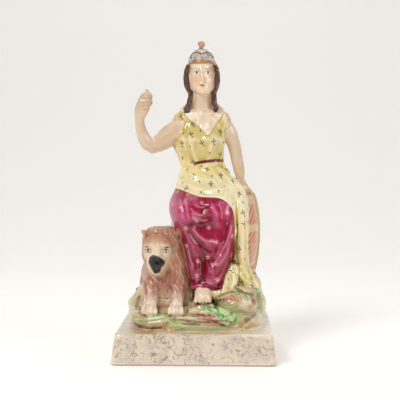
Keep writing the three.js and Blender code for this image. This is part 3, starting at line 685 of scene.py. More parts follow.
def enamel_fields(points):
    """For each enamel, how far each point lies inside its own forms rather than its neighbours'."""
    hill = np.minimum(drum_gap(points, HILL, 2.8), drum_gap(points, MOUND, 3))
    gaps = {
        "plinth": points[:, 2] - PLINTH_TOP - 0.6,
        "ground": np.minimum(hill, form_gap(points, ROCK_ROLLS)),
        "lion": form_gap(points, LION_ROLLS, [MANE]),
        "dress": form_gap(points, HEM_ROLLS + [SKIRT_HEM], [LAP, FALL, BEHIND, TRUNK]),
        "flesh": form_gap(points, FLESH_ROLLS, [FACE]),
        "hair": form_gap(points, HAIR_ROLLS),
        "helmet": drum_gap(points, HELM),
        "shield": np.minimum(shield_gap(points)[0], roll_gap(points, SHIELD_RIM)),
    }
    # In front of the mound the cloth ends at its painted edge.
    spots = seen(points)
    edge = curved(CLOTH_EDGE)
    below = np.interp(spots[:, 0], edge[:, 0], edge[:, 1]) - spots[:, 1]
    at_foot = (points[:, 1] < 5) & (np.abs(points[:, 2] - 77) < 23) & (spots[:, 0] > 17)
    gaps["ground"] = np.where(at_foot, np.minimum(gaps["ground"], gaps["dress"] - below), gaps["ground"])
    # The knop is the helmet's, and skin and hair end under its brim.
    gaps["helmet"] = np.where(points[:, 2] > KNOP_FOOT, -5, gaps["helmet"])
    rise = brim_rise(points)
    for name in ("flesh", "hair"):
        gaps[name] = np.where(points[:, 2] > 320, np.maximum(gaps[name], rise + gaps["helmet"]), gaps[name])
    gaps["helmet"] = np.maximum(gaps["helmet"], -rise)
    fields = {}
    for name, gap in gaps.items():
        rivals = np.min([other for key, other in gaps.items() if key != name], axis=0)
        fields[name] = np.clip(rivals - gap, -FAR, FAR)
    fields["plinth"] = np.where(points[:, 2] < PLINTH_TOP + 3, fields["plinth"], -FAR)
    return fields


def arches(points):
    """Two raised arches on the front of the helmet, 1 along their tops."""
    x, y, z = points.T
    aside = np.abs(x - HEAD_MIDDLE)
    up = np.maximum(z - 340.5, 0) / 5
    gap = np.abs(np.hypot((aside - 6.2) / 6.4, up) - 1) * 5
    return np.exp(-(gap**2)) * (y < 12) * (z > 338.5) * (aside > 0.8)


# Shaping

def active_alone(piece):
    """Selects one piece alone and makes it active."""
    bpy.ops.object.select_all(action="DESELECT")
    piece.select_set(True)
    bpy.context.view_layer.objects.active = piece


def finish_modifier(piece, kind, **settings):
    """Adds a modifier with its settings and applies it."""
    active_alone(piece)
    modifier = piece.modifiers.new(kind.title(), kind)
    for name, value in settings.items():
        setattr(modifier, name, value)
    bpy.ops.object.modifier_apply(modifier=modifier.name)


def clay_roll(name, roll):
    """A tapering roll of clay with closed ends, laid along its middle."""
    bpy.ops.object.select_all(action="DESELECT")
    bpy.ops.curve.primitive_bezier_curve_add()
    piece = bpy.context.object
    piece.name = name
    curve = piece.data
    curve.splines.clear()
    spline = curve.splines.new("POLY")
    path = curved(roll, 5) if len(roll) > 2 else curved([roll[0], roll[1]], 4)
    first, last = path[0], path[-1]
    tips = [first - 0.6 * first[3] * unit(first, path[1]), last - 0.6 * last[3] * unit(last, path[-2])]
    rows = np.vstack([tips[0], path, tips[1]])
    rows[0, 3] = 0.55 * first[3]
    rows[-1, 3] = 0.55 * last[3]
    spline.points.add(len(rows) - 1)
    for point, (x, y, z, radius) in zip(spline.points, rows):
        point.co = (x * MM, y * MM, z * MM, 1)
        point.radius = radius
    curve.dimensions = "3D"
    curve.bevel_depth = MM
    curve.bevel_resolution = 3
    curve.use_fill_caps = True
    active_alone(piece)
    bpy.ops.object.convert(target="MESH")
    return bpy.context.object


def unit(start, towards):
    """The direction from one row to another, with no change of radius."""
    step = np.array(towards[:3]) - np.array(start[:3])
    return np.append(step / np.linalg.norm(step), 0)


def clay_ball(name, centre, radii, turn=(0, 0, 0)):
    """A ball of clay pressed to its three half sizes."""
    bpy.ops.object.select_all(action="DESELECT")
    bpy.ops.mesh.primitive_uv_sphere_add(
        segments=24,
        ring_count=14,
        radius=MM,
        location=[v * MM for v in centre],
        rotation=[math.radians(v) for v in turn],
        scale=radii,
    )
    piece = bpy.context.object
    piece.name = name
    bpy.ops.object.transform_apply()
    return piece


def join_to(piece, others):
    """Joins other pieces to one."""
    active_alone(piece)
    for other in others:
        other.select_set(True)
    bpy.ops.object.join()


def lay_clay(name, rolls):
    """Rolls clay and lays it on the body."""
    join_to(bpy.data.objects[FIGURE], [clay_roll(name, roll) for roll in rolls])


def brushed(spots, strokes):
    """1 along the middle of brush strokes, each as (half width, path), and 0 away from them."""
    return np.minimum(pressed(spots, [(wide, 1, path) for wide, path in strokes]), 1)


def beyond(spots, path, side):
    """How far each spot lies on one side of an upright path, within its height."""
    line = curved(path)[::-1]
    away = (spots[:, 0] - np.interp(spots[:, 1], line[:, 1], line[:, 0])) * side
    return np.minimum(away, spots[:, 1] - line[0, 1])


def pressed(spots, folds):
    """The height that a list of folds gives to each spot."""
    height = np.zeros(len(spots))
    for wide, high, path in folds:
        line = curved(path)
        reach = 2.4 * wide
        near = np.all((spots > line.min(0) - reach) & (spots < line.max(0) + reach), axis=1)
        gap = path_gap(spots[near], line)
        height[near] += high * np.exp(-((gap / wide) ** 2))
    return height


def gaps_between(points, rolls, wide):
    """1 in the grooves between neighbouring fingers or toes."""
    near = np.sort(np.array([roll_gap(points, roll) for roll in rolls]), axis=0)
    return np.exp(-(((near[1] - near[0]) / wide) ** 2)) * (near[0] < 2.2)


def step_up(field, soft):
    """0 outside a field, 1 inside it, with an edge of that softness."""
    return 1 / (1 + np.exp(-np.clip(field / soft, -30, 30)))


# The steps of making

class FIGURE_OT_body(bpy.types.Operator):
    """Takes the pressed body from the frame and merges its loose faces"""

    bl_idname = "figure.body"
    bl_label = "Press Body"

    def execute(self, context):
        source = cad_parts[CASTING]
        body = bpy.data.objects.new(FIGURE, source.data.copy())
        context.scene.collection.objects.link(body)
        active_alone(body)
        bpy.ops.object.mode_set(mode="EDIT")
        bpy.ops.mesh.select_all(action="SELECT")
        bpy.ops.mesh.remove_doubles(threshold=0.001 * MM)
        bpy.ops.object.mode_set(mode="OBJECT")
        return {"FINISHED"}


class FIGURE_OT_head(bpy.types.Operator):
    """Rounds the head and the chest under it, and lays features, locks and knop"""

    bl_idname = "figure.head"
    bl_label = "Model Head"

    def execute(self, context):
        parts = [clay_roll("head_clay", roll) for roll in NOSE + LIPS + FRONT_LOCKS + SIDE_HAIR + SHOULDERS]
        parts.append(clay_ball("skull", (6.7, 8.4, 317), (15.5, 16.2, 21)))
        parts.append(clay_ball("chest", (5.5, 17, 271.5), (28, 14, 12.5)))
        parts.append(clay_ball("knop", (6.4, 12.4, HEIGHT - 3.9), (3.8, 3.8, 3.8)))
        for side in (-1, 1):
            across = FACE_MIDDLE + side * EYE_APART / 2
            parts.append(clay_ball("eyeball", (across, -5.2, EYE_LINE), (3.0, 2.4, 1.9)))
            parts.append(clay_ball("cheek", (across + side * 0.6, -1.6, 312), (4.8, 3.6, 5.6)))
        parts.append(clay_ball("chin", (FACE_MIDDLE + 0.2, -4.8, 300.6), (4.6, 3.4, 3.4)))
        join_to(bpy.data.objects[FIGURE], parts)
        return {"FINISHED"}


class FIGURE_OT_limbs(bpy.types.Operator):
    """Lays the fingers of both hands and the bones of the bare foot"""

    bl_idname = "figure.limbs"
    bl_label = "Model Hands and Foot"

    def execute(self, context):
        lay_clay("limb_clay", CURLED_FINGERS + THUMB + [HAND_HEEL] + RESTING_FINGERS + FOOT_BONES)
        return {"FINISHED"}


class FIGURE_OT_cloth(bpy.types.Operator):
    """Lays the cloth at the waist, the skirt's hem and the ends of the cloth on the rock"""

    bl_idname = "figure.cloth"
    bl_label = "Model Cloth"

    def execute(self, context):
        lay_clay("cloth_clay", WAIST + CLOTH_ENDS + [SKIRT_HEM])
        return {"FINISHED"}


class FIGURE_OT_lion(bpy.types.Operator):
    """Lays the lion's muzzle, brows, ears and toes"""

    bl_idname = "figure.lion"
    bl_label = "Model Lion"

    def execute(self, context):
        lay_clay("lion_clay", LION_FEATURES + LION_TOES)
        return {"FINISHED"}


class FIGURE_OT_ground(bpy.types.Operator):
    """Lays the crumpled leaves, fills the rock about the foot and paws, and rims the shield"""

    bl_idname = "figure.ground"
    bl_label = "Model Ground"

    def execute(self, context):
        lay_clay("ground_clay", LEAF_CREASES + [UNDER_FOOT, BETWEEN_PAWS, BESIDE_FOOT, SHIELD_RIM])
        return {"FINISHED"}


class FIGURE_OT_carve(bpy.types.Operator):
    """Fuses the clay into one skin, softens it with slip and works folds, locks and rock into it"""

    bl_idname = "figure.carve"
    bl_label = "Fuse and Carve"

    def execute(self, context):
        clay = context.scene.figure_clay
        body = bpy.data.objects[FIGURE]
        coarse = 1
        finish_modifier(body, "REMESH", mode="VOXEL", voxel_size=clay.grain * coarse, use_smooth_shade=True)
        self.soften(body, clay)
        self.fold(body, clay)
        self.thin(body, clay)
        return {"FINISHED"}

    def soften(self, body, clay):
        """Slip fills the joins but leaves features crisp, and the plinth's edges are sponged."""
        points = read_mesh(body.data)[0]
        fields = enamel_fields(points)
        head_and_hands = (points[:, 2] > 276) | (points[:, 2] < 90)
        bare = np.maximum(fields["flesh"], fields["helmet"])
        crisp = step_up(np.where(head_and_hands, bare, -FAR) - 0.5, 1)
        features = outline_field(seen(points), LION_FACE) * (points[:, 1] < -40)
        crisp = np.maximum(crisp, step_up(features, 1) * (fields["lion"] > 0))
        group = body.vertex_groups.new(name="slip")
        level = np.round((1 - 0.92 * crisp) * 10).astype(int)
        for step in range(1, 11):
            group.add(np.flatnonzero(level == step).tolist(), step / 10, "REPLACE")
        finish_modifier(body, "SMOOTH", factor=0.5, iterations=clay.slip, vertex_group="slip")

        points = read_mesh(body.data)[0]
        on_plinth = enamel_fields(points)["plinth"] > 1
        edges = np.flatnonzero(on_plinth & (points[:, 2] > 12) & (points[:, 2] < PLINTH_TOP + 1.5))
        worn = body.vertex_groups.new(name="worn_edges")
        worn.add(edges.tolist(), 1, "REPLACE")
        finish_modifier(body, "SMOOTH", factor=0.5, iterations=clay.wear, vertex_group="worn_edges")

    def fold(self, body, clay):
        """Works folds, locks, fingers, rock and headgear into the skin, along its normals."""
        points, normals = read_mesh(body.data)
        fields = enamel_fields(points)
        spots = seen(points)
        front = np.clip(-normals[:, 1] * 2.2, 0, 1)
        inside = {name: step_up(field, 0.8) for name, field in fields.items()}
        skirt = skirt_field(points, spots, fields)
        on_skirt = step_up(skirt, 0.7)
        height = 0.5 * pressed(spots, SKIRT_FOLDS) * front * on_skirt
        height += pressed(spots, DRESS_FOLDS + FALL_FOLDS) * front * inside["dress"] * (1 - on_skirt)
        height += clay.hem / MM * (1 - on_skirt) * inside["dress"] * step_up(6 + skirt, 1.5)
        height += pressed(spots, LION_CREASES) * front * inside["lion"]
        height += pressed(spots, GROUND_CUTS) * front * inside["ground"]
        height += self.pleats(points, spots, front, fields)
        height += self.locks(points, spots, inside)
        for rolls, deep, wide in (
            (CURLED_FINGERS + THUMB, 0.45, 0.6),
            (RESTING_FINGERS, 0.5, 0.7),
            (LION_TOES, 0.6, 0.8),
            (FOOT_BONES, 0.5, 0.6),
        ):
            height -= deep * gaps_between(points, rolls, wide) * (np.abs(points[:, 2] - 77) > 5)
        height += self.rock(points, spots, inside["ground"])
        height += self.headgear(points, fields)
        x, y, z = points.T
        # The resting wrist and the top of the raised fist are pressed slimmer.
        outward, _, upward = np.clip(normals, 0, 1).T
        height -= 4 * np.exp(-(((z - 197) / 9) ** 2)) * (x > 46) * inside["flesh"] * outward
        height -= 2.6 * np.clip((z - 296) / 5, 0, 1) * (x < -48) * upward
        wave = np.sin(x / 23 + 1) * np.sin(z / 11) + np.sin(y / 19) * np.sin(x / 31)
        height += clay.wobble / MM * wave * inside["plinth"]
        above_foot = z > 1.5
        points = points + normals * (height * above_foot)[:, None]
        low, high = np.array(FOOT) / MM, np.array(CROWN) / MM
        write_points(body.data, np.clip(points, low, high))

    def pleats(self, points, spots, front, fields):
        """Fine gathers in the white linen at the neck and in the cloth at the back."""
        x, y, z = points.T
        linen = step_up(linen_field(points, spots, fields), 0.6) * front
        behind = step_up(fields["dress"], 0.8) * np.clip((y - 20) / 12, 0, 1) * (z < 210)
        sway = x + 3 * np.sin(z / 17)
        return 0.25 * linen * np.sin(x * 2.4) + behind * np.sin(sway / 2.1) * np.sin(z / 60 + 1)

    def locks(self, points, spots, inside):
        """Strands in the hair and shaggy locks in the mane and on the lion's back."""
        x, y, z = points.T
        around = 16 * np.arctan2(x - 7, -(y - 16)) + 1.2 * np.sin(z / 4.5)
        strands = 0.42 * np.sin(around * 2.9) * inside["hair"]
        shag = np.sin(1.25 * (x + 0.45 * z) + 2.2 * np.sin(z / 4.6 + y / 9) + 1.6 * np.sin(y / 5))
        cross = np.sin(z / 3.1 + 1.8 * np.sin(x / 4.2 + y / 7))
        face = step_up(outline_field(spots, LION_FACE), 1.5) * (y < -30)
        legs = step_up(72 - z, 2)
        back = np.clip((y - 14) / 10, 0, 1)
        coat = inside["lion"] * (1 - face) * (1 - legs) * (1 - 0.75 * back)
        return strands + coat * (0.3 * shag * (0.6 + 0.4 * cross) + 0.14 * cross)

    def rock(self, points, spots, ground):
        """Crags, the ringed boulder beside the foot and the crinkles of the leaves before it."""
        x, y, z = points.T
        crag = 0.5 * np.sin(x / 5.1 + 1.7 * np.sin(z / 7 + y / 9)) * np.sin(y / 4.3 + z / 3.7 + np.sin(x / 8))
        swirl = np.hypot(spots[:, 0] - 38, (spots[:, 1] - 60) * 1.25)
        boulder = np.exp(-((swirl / 17) ** 4)) * (y < -20)
        leaf = np.exp(-(((spots[:, 0] - 22) / 24) ** 4 + ((spots[:, 1] - 42) / 12) ** 4)) * (y < -50)
        crinkle = 0.5 * np.sin(x * 0.9 + 2 * np.sin(z * 0.55)) * np.sin(z * 1.1 + x * 0.3)
        return ground * (crag + 0.3 * boulder * np.cos(swirl * 1.5) + leaf * crinkle)

    def headgear(self, points, fields):
        """The rolled brim and the arches of the helmet."""
        helm = step_up(fields["helmet"] + 0.3, 0.4) * (points[:, 2] < KNOP_FOOT)
        rise = brim_rise(points)
        band = np.exp(-(((rise - 0.7) / 1.1) ** 2)) + 0.5 * np.exp(-(((rise - 4.6) / 0.8) ** 2))
        return helm * (0.75 * band + 0.5 * arches(points))

    def thin(self, body, clay):
        """Spends the triangles on the carving instead of on the flat faces."""
        count = sum(len(face.vertices) - 2 for face in body.data.polygons)
        finish_modifier(body, "DECIMATE", ratio=min(1, clay.limit / count), use_collapse_triangulate=True)
        active_alone(body)
        bpy.ops.object.shade_smooth()


def skirt_field(points, spots, fields):
    """How far each point lies inside the crimson skirt: on the lap, under the overskirt's hem."""
    under = outline_field(spots, list(curved(OVERSKIRT_HEM, 4)) + [(-60, 70)])
    lap = form_gap(points, [SKIRT_HEM], [LAP, BEHIND])
    others = form_gap(points, HEM_ROLLS, [FALL])
    share = 4 * np.clip((-8 - points[:, 1]) / 6, 0, 1)
    return np.minimum(np.minimum(under, fields["dress"] + 1.5), np.clip(others - lap + share, -FAR, FAR))


def linen_field(points, spots, fields):
    """How far each point lies inside the white linen at the neck."""
    vee = outline_field(spots, curved(NECKLINE, 3))
    return np.minimum(np.minimum(vee, COLLAR - spots[:, 1]), np.where(points[:, 1] < 20, FAR, -FAR))


class FIGURE_OT_paint(bpy.types.Operator):
    """Marks on the skin where each enamel lies, where it pools and takes painted shade, where it thins and
    takes painted highlights, and where the sprigs and stars go
    """

    bl_idname = "figure.paint"
    bl_label = "Mark Out Enamels"

    def execute(self, context):
        body = bpy.data.objects[FIGURE]
        points, normals = read_mesh(body.data)
        fields = enamel_fields(points)
        spots = seen(points)
        forward = points[:, 1] < 18
        skirt = skirt_field(points, spots, fields)
        linen = linen_field(points, spots, fields)
        above_collar = np.minimum(spots[:, 1] - COLLAR, np.where(forward, FAR, -FAR))
        bare_left = beyond(spots, LEFT_SLEEVE, -1)
        bare_right = beyond(spots, RIGHT_SLEEVE, 1)
        bare = np.maximum(np.maximum(bare_left, bare_right), above_collar)
        edge = np.array(FOREARM_EDGE)
        x, z = spots.T
        over_wrist = np.min([np.interp(x, edge[:, 0], edge[:, 1]) - z, 61.5 - x, x - 36, z - 176], axis=0)
        strap = np.minimum(outline_field(spots, STRAP), np.maximum(fields["flesh"], fields["dress"]))
        draped = np.where(points[:, 1] < 30, np.maximum(strap, over_wrist), -FAR)
        linen = np.minimum(linen, -strap)
        face = outline_field(spots, curved(LION_FACE + LION_FACE[:1], 3))
        muzzle = outline_field(spots, curved(LION_MUZZLE + LION_MUZZLE[:1], 3))
        fore_sleeve = path_gap(spots, curved(FOREARM_EDGE))
        marks = {
            "linen": linen,
            "flesh": np.minimum(
                np.maximum(fields["flesh"], np.minimum(fields["dress"], bare)), -np.maximum(linen, draped)
            ),
            "dress": np.maximum(fields["dress"], draped),
            "skirt": skirt,
            "cloth": fields["dress"],
            "sleeve": np.where(forward, np.minimum(np.abs(bare), fore_sleeve), FAR),
            "belt": np.where(forward, 1.6 - path_gap(spots, curved(BELT)), -FAR),
            "lion_face": np.where(points[:, 1] < -34, face, -FAR),
            "lion_muzzle": np.where(points[:, 1] < -44, muzzle, -FAR),
            "rise": brim_rise(points),
            "arches": arches(points),
            "finger_gap": gaps_between(points, CURLED_FINGERS + THUMB, 0.6),
            "toe_gap": gaps_between(points, LION_TOES, 0.7),
            # Hollows take pooled enamel with painted shade, ridges take thin enamel with painted highlights.
            "pool": self.pooling_shade_highlight(body.data, points, normals),
        }
        _, across, up = shield_gap(points)
        marks["shield_rim"] = (np.hypot(across, up) - 0.84) * SHIELD["wide"] / 2
        marks["shield_band"] = 4.2 - np.abs(points[:, 2] - 142)
        ahead = normals[:, 1] < 0
        # Painted highlights on the skirt's ridges.
        marks["skirt_thin"] = brushed(spots, SKIRT_THIN_HIGHLIGHTS) * ahead
        # Painted shade in the skirt's folds and the painted shadow beside the lion.
        marks["skirt_thick"] = brushed(spots, SKIRT_THICK_SHADE) * ahead
        for enamel in STROKE_STRENGTHS:
            strokes = [(wide, path) for name, wide, path in GROUND_STROKES if name == enamel]
            marks["stroke_" + enamel] = brushed(spots, strokes) * (points[:, 1] < 26) * ahead
        for name, field in {**fields, **marks}.items():
            layer = body.data.attributes.new(name, "FLOAT", "POINT")
            layer.data.foreach_set("value", np.clip(field, -FAR, FAR).astype(np.float32))
        yellow = np.minimum(fields["dress"], -np.maximum(skirt, linen)) - 1.5
        yellow = np.where(above_collar > 0, -1, yellow)
        self.place_motifs(body.data, "sprigs", SPRIG_PLACES, BUD_PLACES, 13, yellow)
        self.place_motifs(body.data, "stars", STAR_PLACES, [], 19, skirt - 1.5)
        self.lay_front_view(body.data, spots)
        return {"FINISHED"}

    def lay_front_view(self, mesh, spots):
        """Gives each corner its place as seen from the front, as a UV map in millimetres."""
        corners = np.empty(len(mesh.loops), int)
        mesh.loops.foreach_get("vertex_index", corners)
        layer = mesh.uv_layers.new(name="front_view")
        layer.data.foreach_set("uv", spots[corners].ravel().astype(np.float32))

    def pooling_shade_highlight(self, mesh, points, normals):
        """Where the skin is hollow, more than 0, and where it is proud, less than 0: pooled enamel and
        painted shade go in the hollows, thin enamel and painted highlights on the ridges.
        """
        ends = np.empty(len(mesh.edges) * 2, int)
        mesh.edges.foreach_get("vertices", ends)
        a, b = ends.reshape(-1, 2).T
        count = np.bincount(a, minlength=len(points)) + np.bincount(b, minlength=len(points))

        def spread(values):
            """The mean of each point's neighbours."""
            total = np.bincount(a, values[b], len(points)) + np.bincount(b, values[a], len(points))
            return total / np.maximum(count, 1)

        middle = points.copy()
        total = np.zeros(len(points))
        for step in range(1, 13):
            middle = np.stack([spread(middle[:, axis]) for axis in range(3)], axis=1)
            if step in (2, 5, 12):
                total += ((middle - points) * normals).sum(1) / math.sqrt(step)
        return spread(spread(total)) * 6

    def choose_places(self, points, normals, places, apart, allowed):
        """The points at the places as seen, and others at random, each at least so far apart."""
        spots = seen(points)
        front = allowed[normals[allowed, 1] < -0.1]
        chosen = [front[np.argmin(np.linalg.norm(spots[front] - place, axis=1))] for place in places]
        tries = 4000
        for candidate in np.random.default_rng(7).permutation(allowed)[:tries]:
            if np.min(np.linalg.norm(points[chosen] - points[candidate], axis=1)) > apart:
                chosen.append(candidate)
        return chosen

    def place_motifs(self, mesh, name, places, buds, apart, field):
        """Gives each face the way to its nearest motif, across and up in millimetres, as a UV map."""
        points, normals = read_mesh(mesh)
        chosen = self.choose_places(points, normals, places + buds, apart, np.flatnonzero(field > 0))
        centres, facing = points[chosen], normals[chosen]
        small = np.arange(len(chosen)) % 2 == 1
        small[: len(places)] = False
        small[len(places) : len(places) + len(buds)] = True
        faces = np.empty(len(mesh.polygons) * 3, int)
        mesh.polygons.foreach_get("vertices", faces)
        faces = faces.reshape(-1, 3)
        middles = points[faces].mean(1)
        nearest = np.zeros(len(faces), int)
        best = np.full(len(faces), np.inf)
        for n, centre in enumerate(centres):
            gap = np.linalg.norm(middles - centre, axis=1) + 4 * (normals[faces[:, 0]] @ facing[n] < 0)
            nearest = np.where(gap < best, n, nearest)
            best = np.minimum(gap, best)
        up = np.array([0.0, 0.0, 1.0]) - facing * facing[:, 2:]
        up /= np.linalg.norm(up, axis=1, keepdims=True) + 1e-9
        right = np.cross(up, facing)
        lean = np.random.default_rng(3).uniform(-0.6, 0.6, (len(centres), 1))
        turned_up = up * np.cos(lean) + right * np.sin(lean)
        turned_right = right * np.cos(lean) - up * np.sin(lean)
        away = points[faces] - centres[nearest][:, None, :]
        across = (away * turned_right[nearest][:, None, :]).sum(2)
        height = (away * turned_up[nearest][:, None, :]).sum(2)
        layer = mesh.uv_layers.new(name=name)
        layer.data.foreach_set("uv", np.stack([across, height], axis=2).ravel().astype(np.float32))
        if buds:
            kind = mesh.attributes.new("bud", "FLOAT", "FACE")
            kind.data.foreach_set("value", small[nearest].astype(np.float32))


# Materials

class Nodes:
    """A node tree, with the one function that adds to it."""

    def __init__(self, tree, enamels=None):
        tree.nodes.clear()
        self.tree = tree
        self.enamels = enamels

    def add(self, kind, *inputs, **settings):
        """Adds a node with its settings and links. A name is an enamel, or a mark where a number goes."""
        made = self.tree.nodes.new("ShaderNode" + kind)
        for name, value in settings.items():
            if name[0].islower():
                setattr(made, name, value)
        used = [socket for socket in made.inputs if socket.enabled]
        given = list(zip(used, inputs))
        given += [(socket, settings[socket.name]) for socket in used if socket.name in settings]
        for socket, value in given:
            if isinstance(value, str) and socket.type == "VALUE":
                value = self.add("Attribute", attribute_name=value).outputs["Fac"]
            elif isinstance(value, str):
                value = getattr(self.enamels, value)
            elif isinstance(value, bpy.types.Node):
                value = next(out for out in value.outputs if out.enabled)
            if isinstance(value, bpy.types.NodeSocket):
                self.tree.links.new(value, socket)
            else:
                socket.default_value = value
        return made


class Brush(Nodes):
    """Lays enamel over enamel. Where each goes is a range (value, low, high): 0 at low and 1 at high."""

    def __init__(self, tree, enamels):
        super().__init__(tree, enamels)
        place = self.add("TexCoord").outputs["Object"]
        self.place = self.add("VectorMath", place, operation="SCALE", Scale=1 / MM)
        self.front_view = self.add("UVMap", uv_map="front_view")
        axes = self.add("SeparateXYZ", self.place).outputs
        self.across, self.depth, self.height = axes["X"], axes["Y"], axes["Z"]
        self.waver = self.add("TexNoise", self.place, 0.45)

    def where(self, *ranges):
        """1 where all the ranges are past, each a range or what is 0 to 1 already."""
        product = None
        for part in ranges:
            if isinstance(part, tuple):
                part = self.add("MapRange", *part, interpolation_type="SMOOTHSTEP")
            product = part if product is None else self.add("Math", product, part, operation="MULTIPLY")
        return product

    def lay(self, under, *coats):
        """Coats laid over one another, each as (enamel, strength, range, ...)."""
        for enamel, strength, *ranges in coats:
            mask = self.where(*ranges)
            if strength < 1:
                mask = self.add("Math", mask, strength, operation="MULTIPLY")
            under = self.add("Mix", mask, under, enamel, data_type="RGBA")
        return under

    def cloud(self, per_mm, low, high, stretch=(1, 1, 1), detail=2.0, swirl=0.0):
        """Cloudy or streaky patches with that many to a millimetre."""
        place = self.add("VectorMath", self.place, stretch, operation="MULTIPLY")
        return self.add("TexNoise", place, per_mm, detail, Distortion=swirl), low, high

    def inside(self, name, soft=0.45, shake=0.9):
        """The inside of a marked outline, with the slightly unsteady edge of brushwork."""
        moved = self.add("Math", self.waver, shake, name, operation="MULTIPLY_ADD")
        return moved, shake / 2 - soft, shake / 2 + soft

    def line(self, name, half):
        """A brush line of that half width on a marked outline."""
        return self.add("Math", name, operation="ABSOLUTE"), half * 1.5, half * 0.6

    def oval(self, middle, half, soft=0.25):
        """An upright oval on the front, by its middle as seen and its half sizes."""
        away = self.add("VectorMath", self.front_view, (*middle, 0), operation="SUBTRACT")
        shape = self.add("VectorMath", away, (1 / half[0], 1 / half[1], 0), operation="MULTIPLY")
        return self.add("VectorMath", shape, operation="LENGTH"), 1 + soft, 1 - soft

    def arc(self, middle, half, width):
        """1 on the upper part of an oval's outline, as a fine curved brush stroke."""
        ovals = [self.where(self.oval((middle[0], up), half, 0.1)) for up in (middle[1], middle[1] - width)]
        return self.add("Math", *ovals, operation="SUBTRACT", use_clamp=True)

    def leaves(self, name, rays, reach, lean, half, bend=0.0):
        """Lens-shaped strokes round each motif's middle, those at the top longest, the others bent up."""
        axes = self.add("SeparateXYZ", self.add("UVMap", uv_map=name)).outputs
        lift = self.add("Math", axes["X"], axes["X"], operation="MULTIPLY")
        up = self.add("Math", lift, -bend, axes["Y"], operation="MULTIPLY_ADD")
        angle = self.add("Math", axes["X"], up, operation="ARCTAN2")
        upright = self.add("Math", angle, operation="COSINE")
        length = self.add("Math", upright, lean, reach, operation="MULTIPLY_ADD")
        away = self.add("VectorMath", self.add("CombineXYZ", axes["X"], up), operation="LENGTH")
        share = self.add("Math", away, length, operation="DIVIDE", use_clamp=True)
        belly = self.add("Math", self.add("Math", share, math.pi, operation="MULTIPLY"), operation="SINE")
        fold = self.add("Math", angle, math.pi / rays, operation="PINGPONG")
        aside = self.add("Math", away, self.add("Math", fold, operation="SINE"), operation="MULTIPLY")
        return self.add("Math", aside, -1 / half, belly, operation="MULTIPLY_ADD"), 0.0, 0.35


class FIGURE_OT_glaze(bpy.types.Operator):
    """Fires the enamels under a clear glossy glaze"""

    bl_idname = "figure.glaze"
    bl_label = "Fire Glaze"

    def execute(self, context):
        body = bpy.data.objects[FIGURE]
        material = bpy.data.materials.new("enamelled_lead_glazed_earthenware")
        material.use_nodes = True
        brush = Brush(material.node_tree, context.scene.figure_enamels)
        coat = brush.lay("rock", ("plinth", 1, brush.inside("plinth", 0.8, 3)))
        for name, enamel, soft, shake in (
            ("ground", rocks(brush), 0.8, 2),
            ("plinth", marbling(brush), 0.8, 3),
            ("dress", dress(brush), 0.4, 0.6),
            ("skirt", skirt(brush), 0.4, 0.5),
            ("linen", linen(brush), 0.4, 0.4),
            ("lion", lion(brush), 0.4, 1.0),
            ("flesh", flesh(brush), 0.4, 0.5),
            ("hair", hair(brush), 0.4, 0.5),
            ("shield", shield(brush), 0.5, 0.8),
            ("helmet", helmet(brush), 0.4, 0.3),
        ):
            coat = brush.lay(coat, (enamel, 1, brush.inside(name, soft, shake)))
        for name, enamel, half, strength in (
            ("skirt", "skirt_shade", 0.4, 0.9),
            ("linen", "outline", 0.35, 0.8),
            ("sleeve", "outline", 0.3, 0.55),
            ("belt", "skirt_shade", 0.4, 0.7),
        ):
            coat = brush.lay(coat, (enamel, strength, brush.line(name, half), brush.inside("cloth", 1.5, 0)))
        coat = brush.lay(coat, ("belt", 1, brush.inside("belt", 0.3, 0.4), brush.inside("cloth", 0.3, 0)))
        self.fire(brush, coat, context.scene.figure_glaze)
        body.data.materials.clear()
        body.data.materials.append(material)
        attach(body, "root")
        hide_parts(CASTING)
        return {"FINISHED"}

    def fire(self, brush, coat, glaze):
        """Clear lead glaze: glossy, with slow ripples and faint brush strokes, duller on the lion."""
        waves = brush.add("TexNoise", brush.place, 0.16, 2)
        ripple = brush.add("Bump", 0.8, Distance=glaze.ripple * 2, Height=waves)
        bristles = brush.add("TexNoise", brush.place, 1.1, 3)
        strokes = brush.add("Bump", 0.3, Distance=glaze.ripple, Height=bristles, Normal=ripple)
        gloss = brush.add("TexNoise", brush.place, 0.3, 3)
        rough = brush.add("MapRange", gloss, 0, 1, glaze.roughness * 0.6, glaze.roughness * 1.5)
        rough = brush.add("Mix", brush.where(brush.inside("lion")), rough, 0.3, data_type="FLOAT")
        shader = brush.add("BsdfPrincipled", coat, Roughness=rough, Normal=strokes, IOR=glaze.ior)
        brush.add("OutputMaterial", shader)


def marbling(brush):
    """Plinth: curling olive and mauve lines over a cloudy pale ground, scribbled as on veined marble, with
    painted highlights along its edges, painted shade on the left of its top and painted light on the right.
    """
    ground = brush.lay(
        "plinth",
        ("ware", 0.4, brush.cloud(0.06, 0.4, 0.65, detail=3)),
        ("vein_grey", 0.35, brush.cloud(0.085, 0.48, 0.78, (1, 1, 0.7), 3)),
    )
    for enamel, per_mm, apart, thin, strength in (
        ("vein", 0.05, 0.085, 0.018, 0.75),
        ("vein_grey", 0.075, 0.09, 0.024, 0.55),
        ("vein_dark", 0.11, 0.13, 0.024, 0.38),
    ):
        hills = brush.add("TexNoise", brush.place, per_mm, 1, Distortion=0.9)
        rings = brush.add("Math", hills, apart, operation="PINGPONG")
        broken = brush.cloud(2 * per_mm, 0.46, 0.54, detail=1)
        ground = brush.lay(ground, (enamel, strength, (rings, thin, 0.3 * thin), broken))
    top = brush.where((brush.height, 32, 33.5))
    return brush.lay(
        ground,
        # Painted highlights along the plinth's proud edges, where the enamel is also worn thin.
        ("ware", 0.6, ("pool", -1.8, -3.4)),
        # Painted shade on the left of the top and painted light on its right.
        ("vein", 0.3, top, (brush.across, -30, -75)),
        ("ware", 0.5, top, (brush.across, 20, 60)),
        ("ochre", 0.75, ("stroke_ochre", 0.2, 0.9), brush.cloud(0.07, 0.36, 0.56, (0.7, 1, 1), 3), top),
        ("vein_dark", 0.6, (brush.height, 2.6, 0.6)),
    )


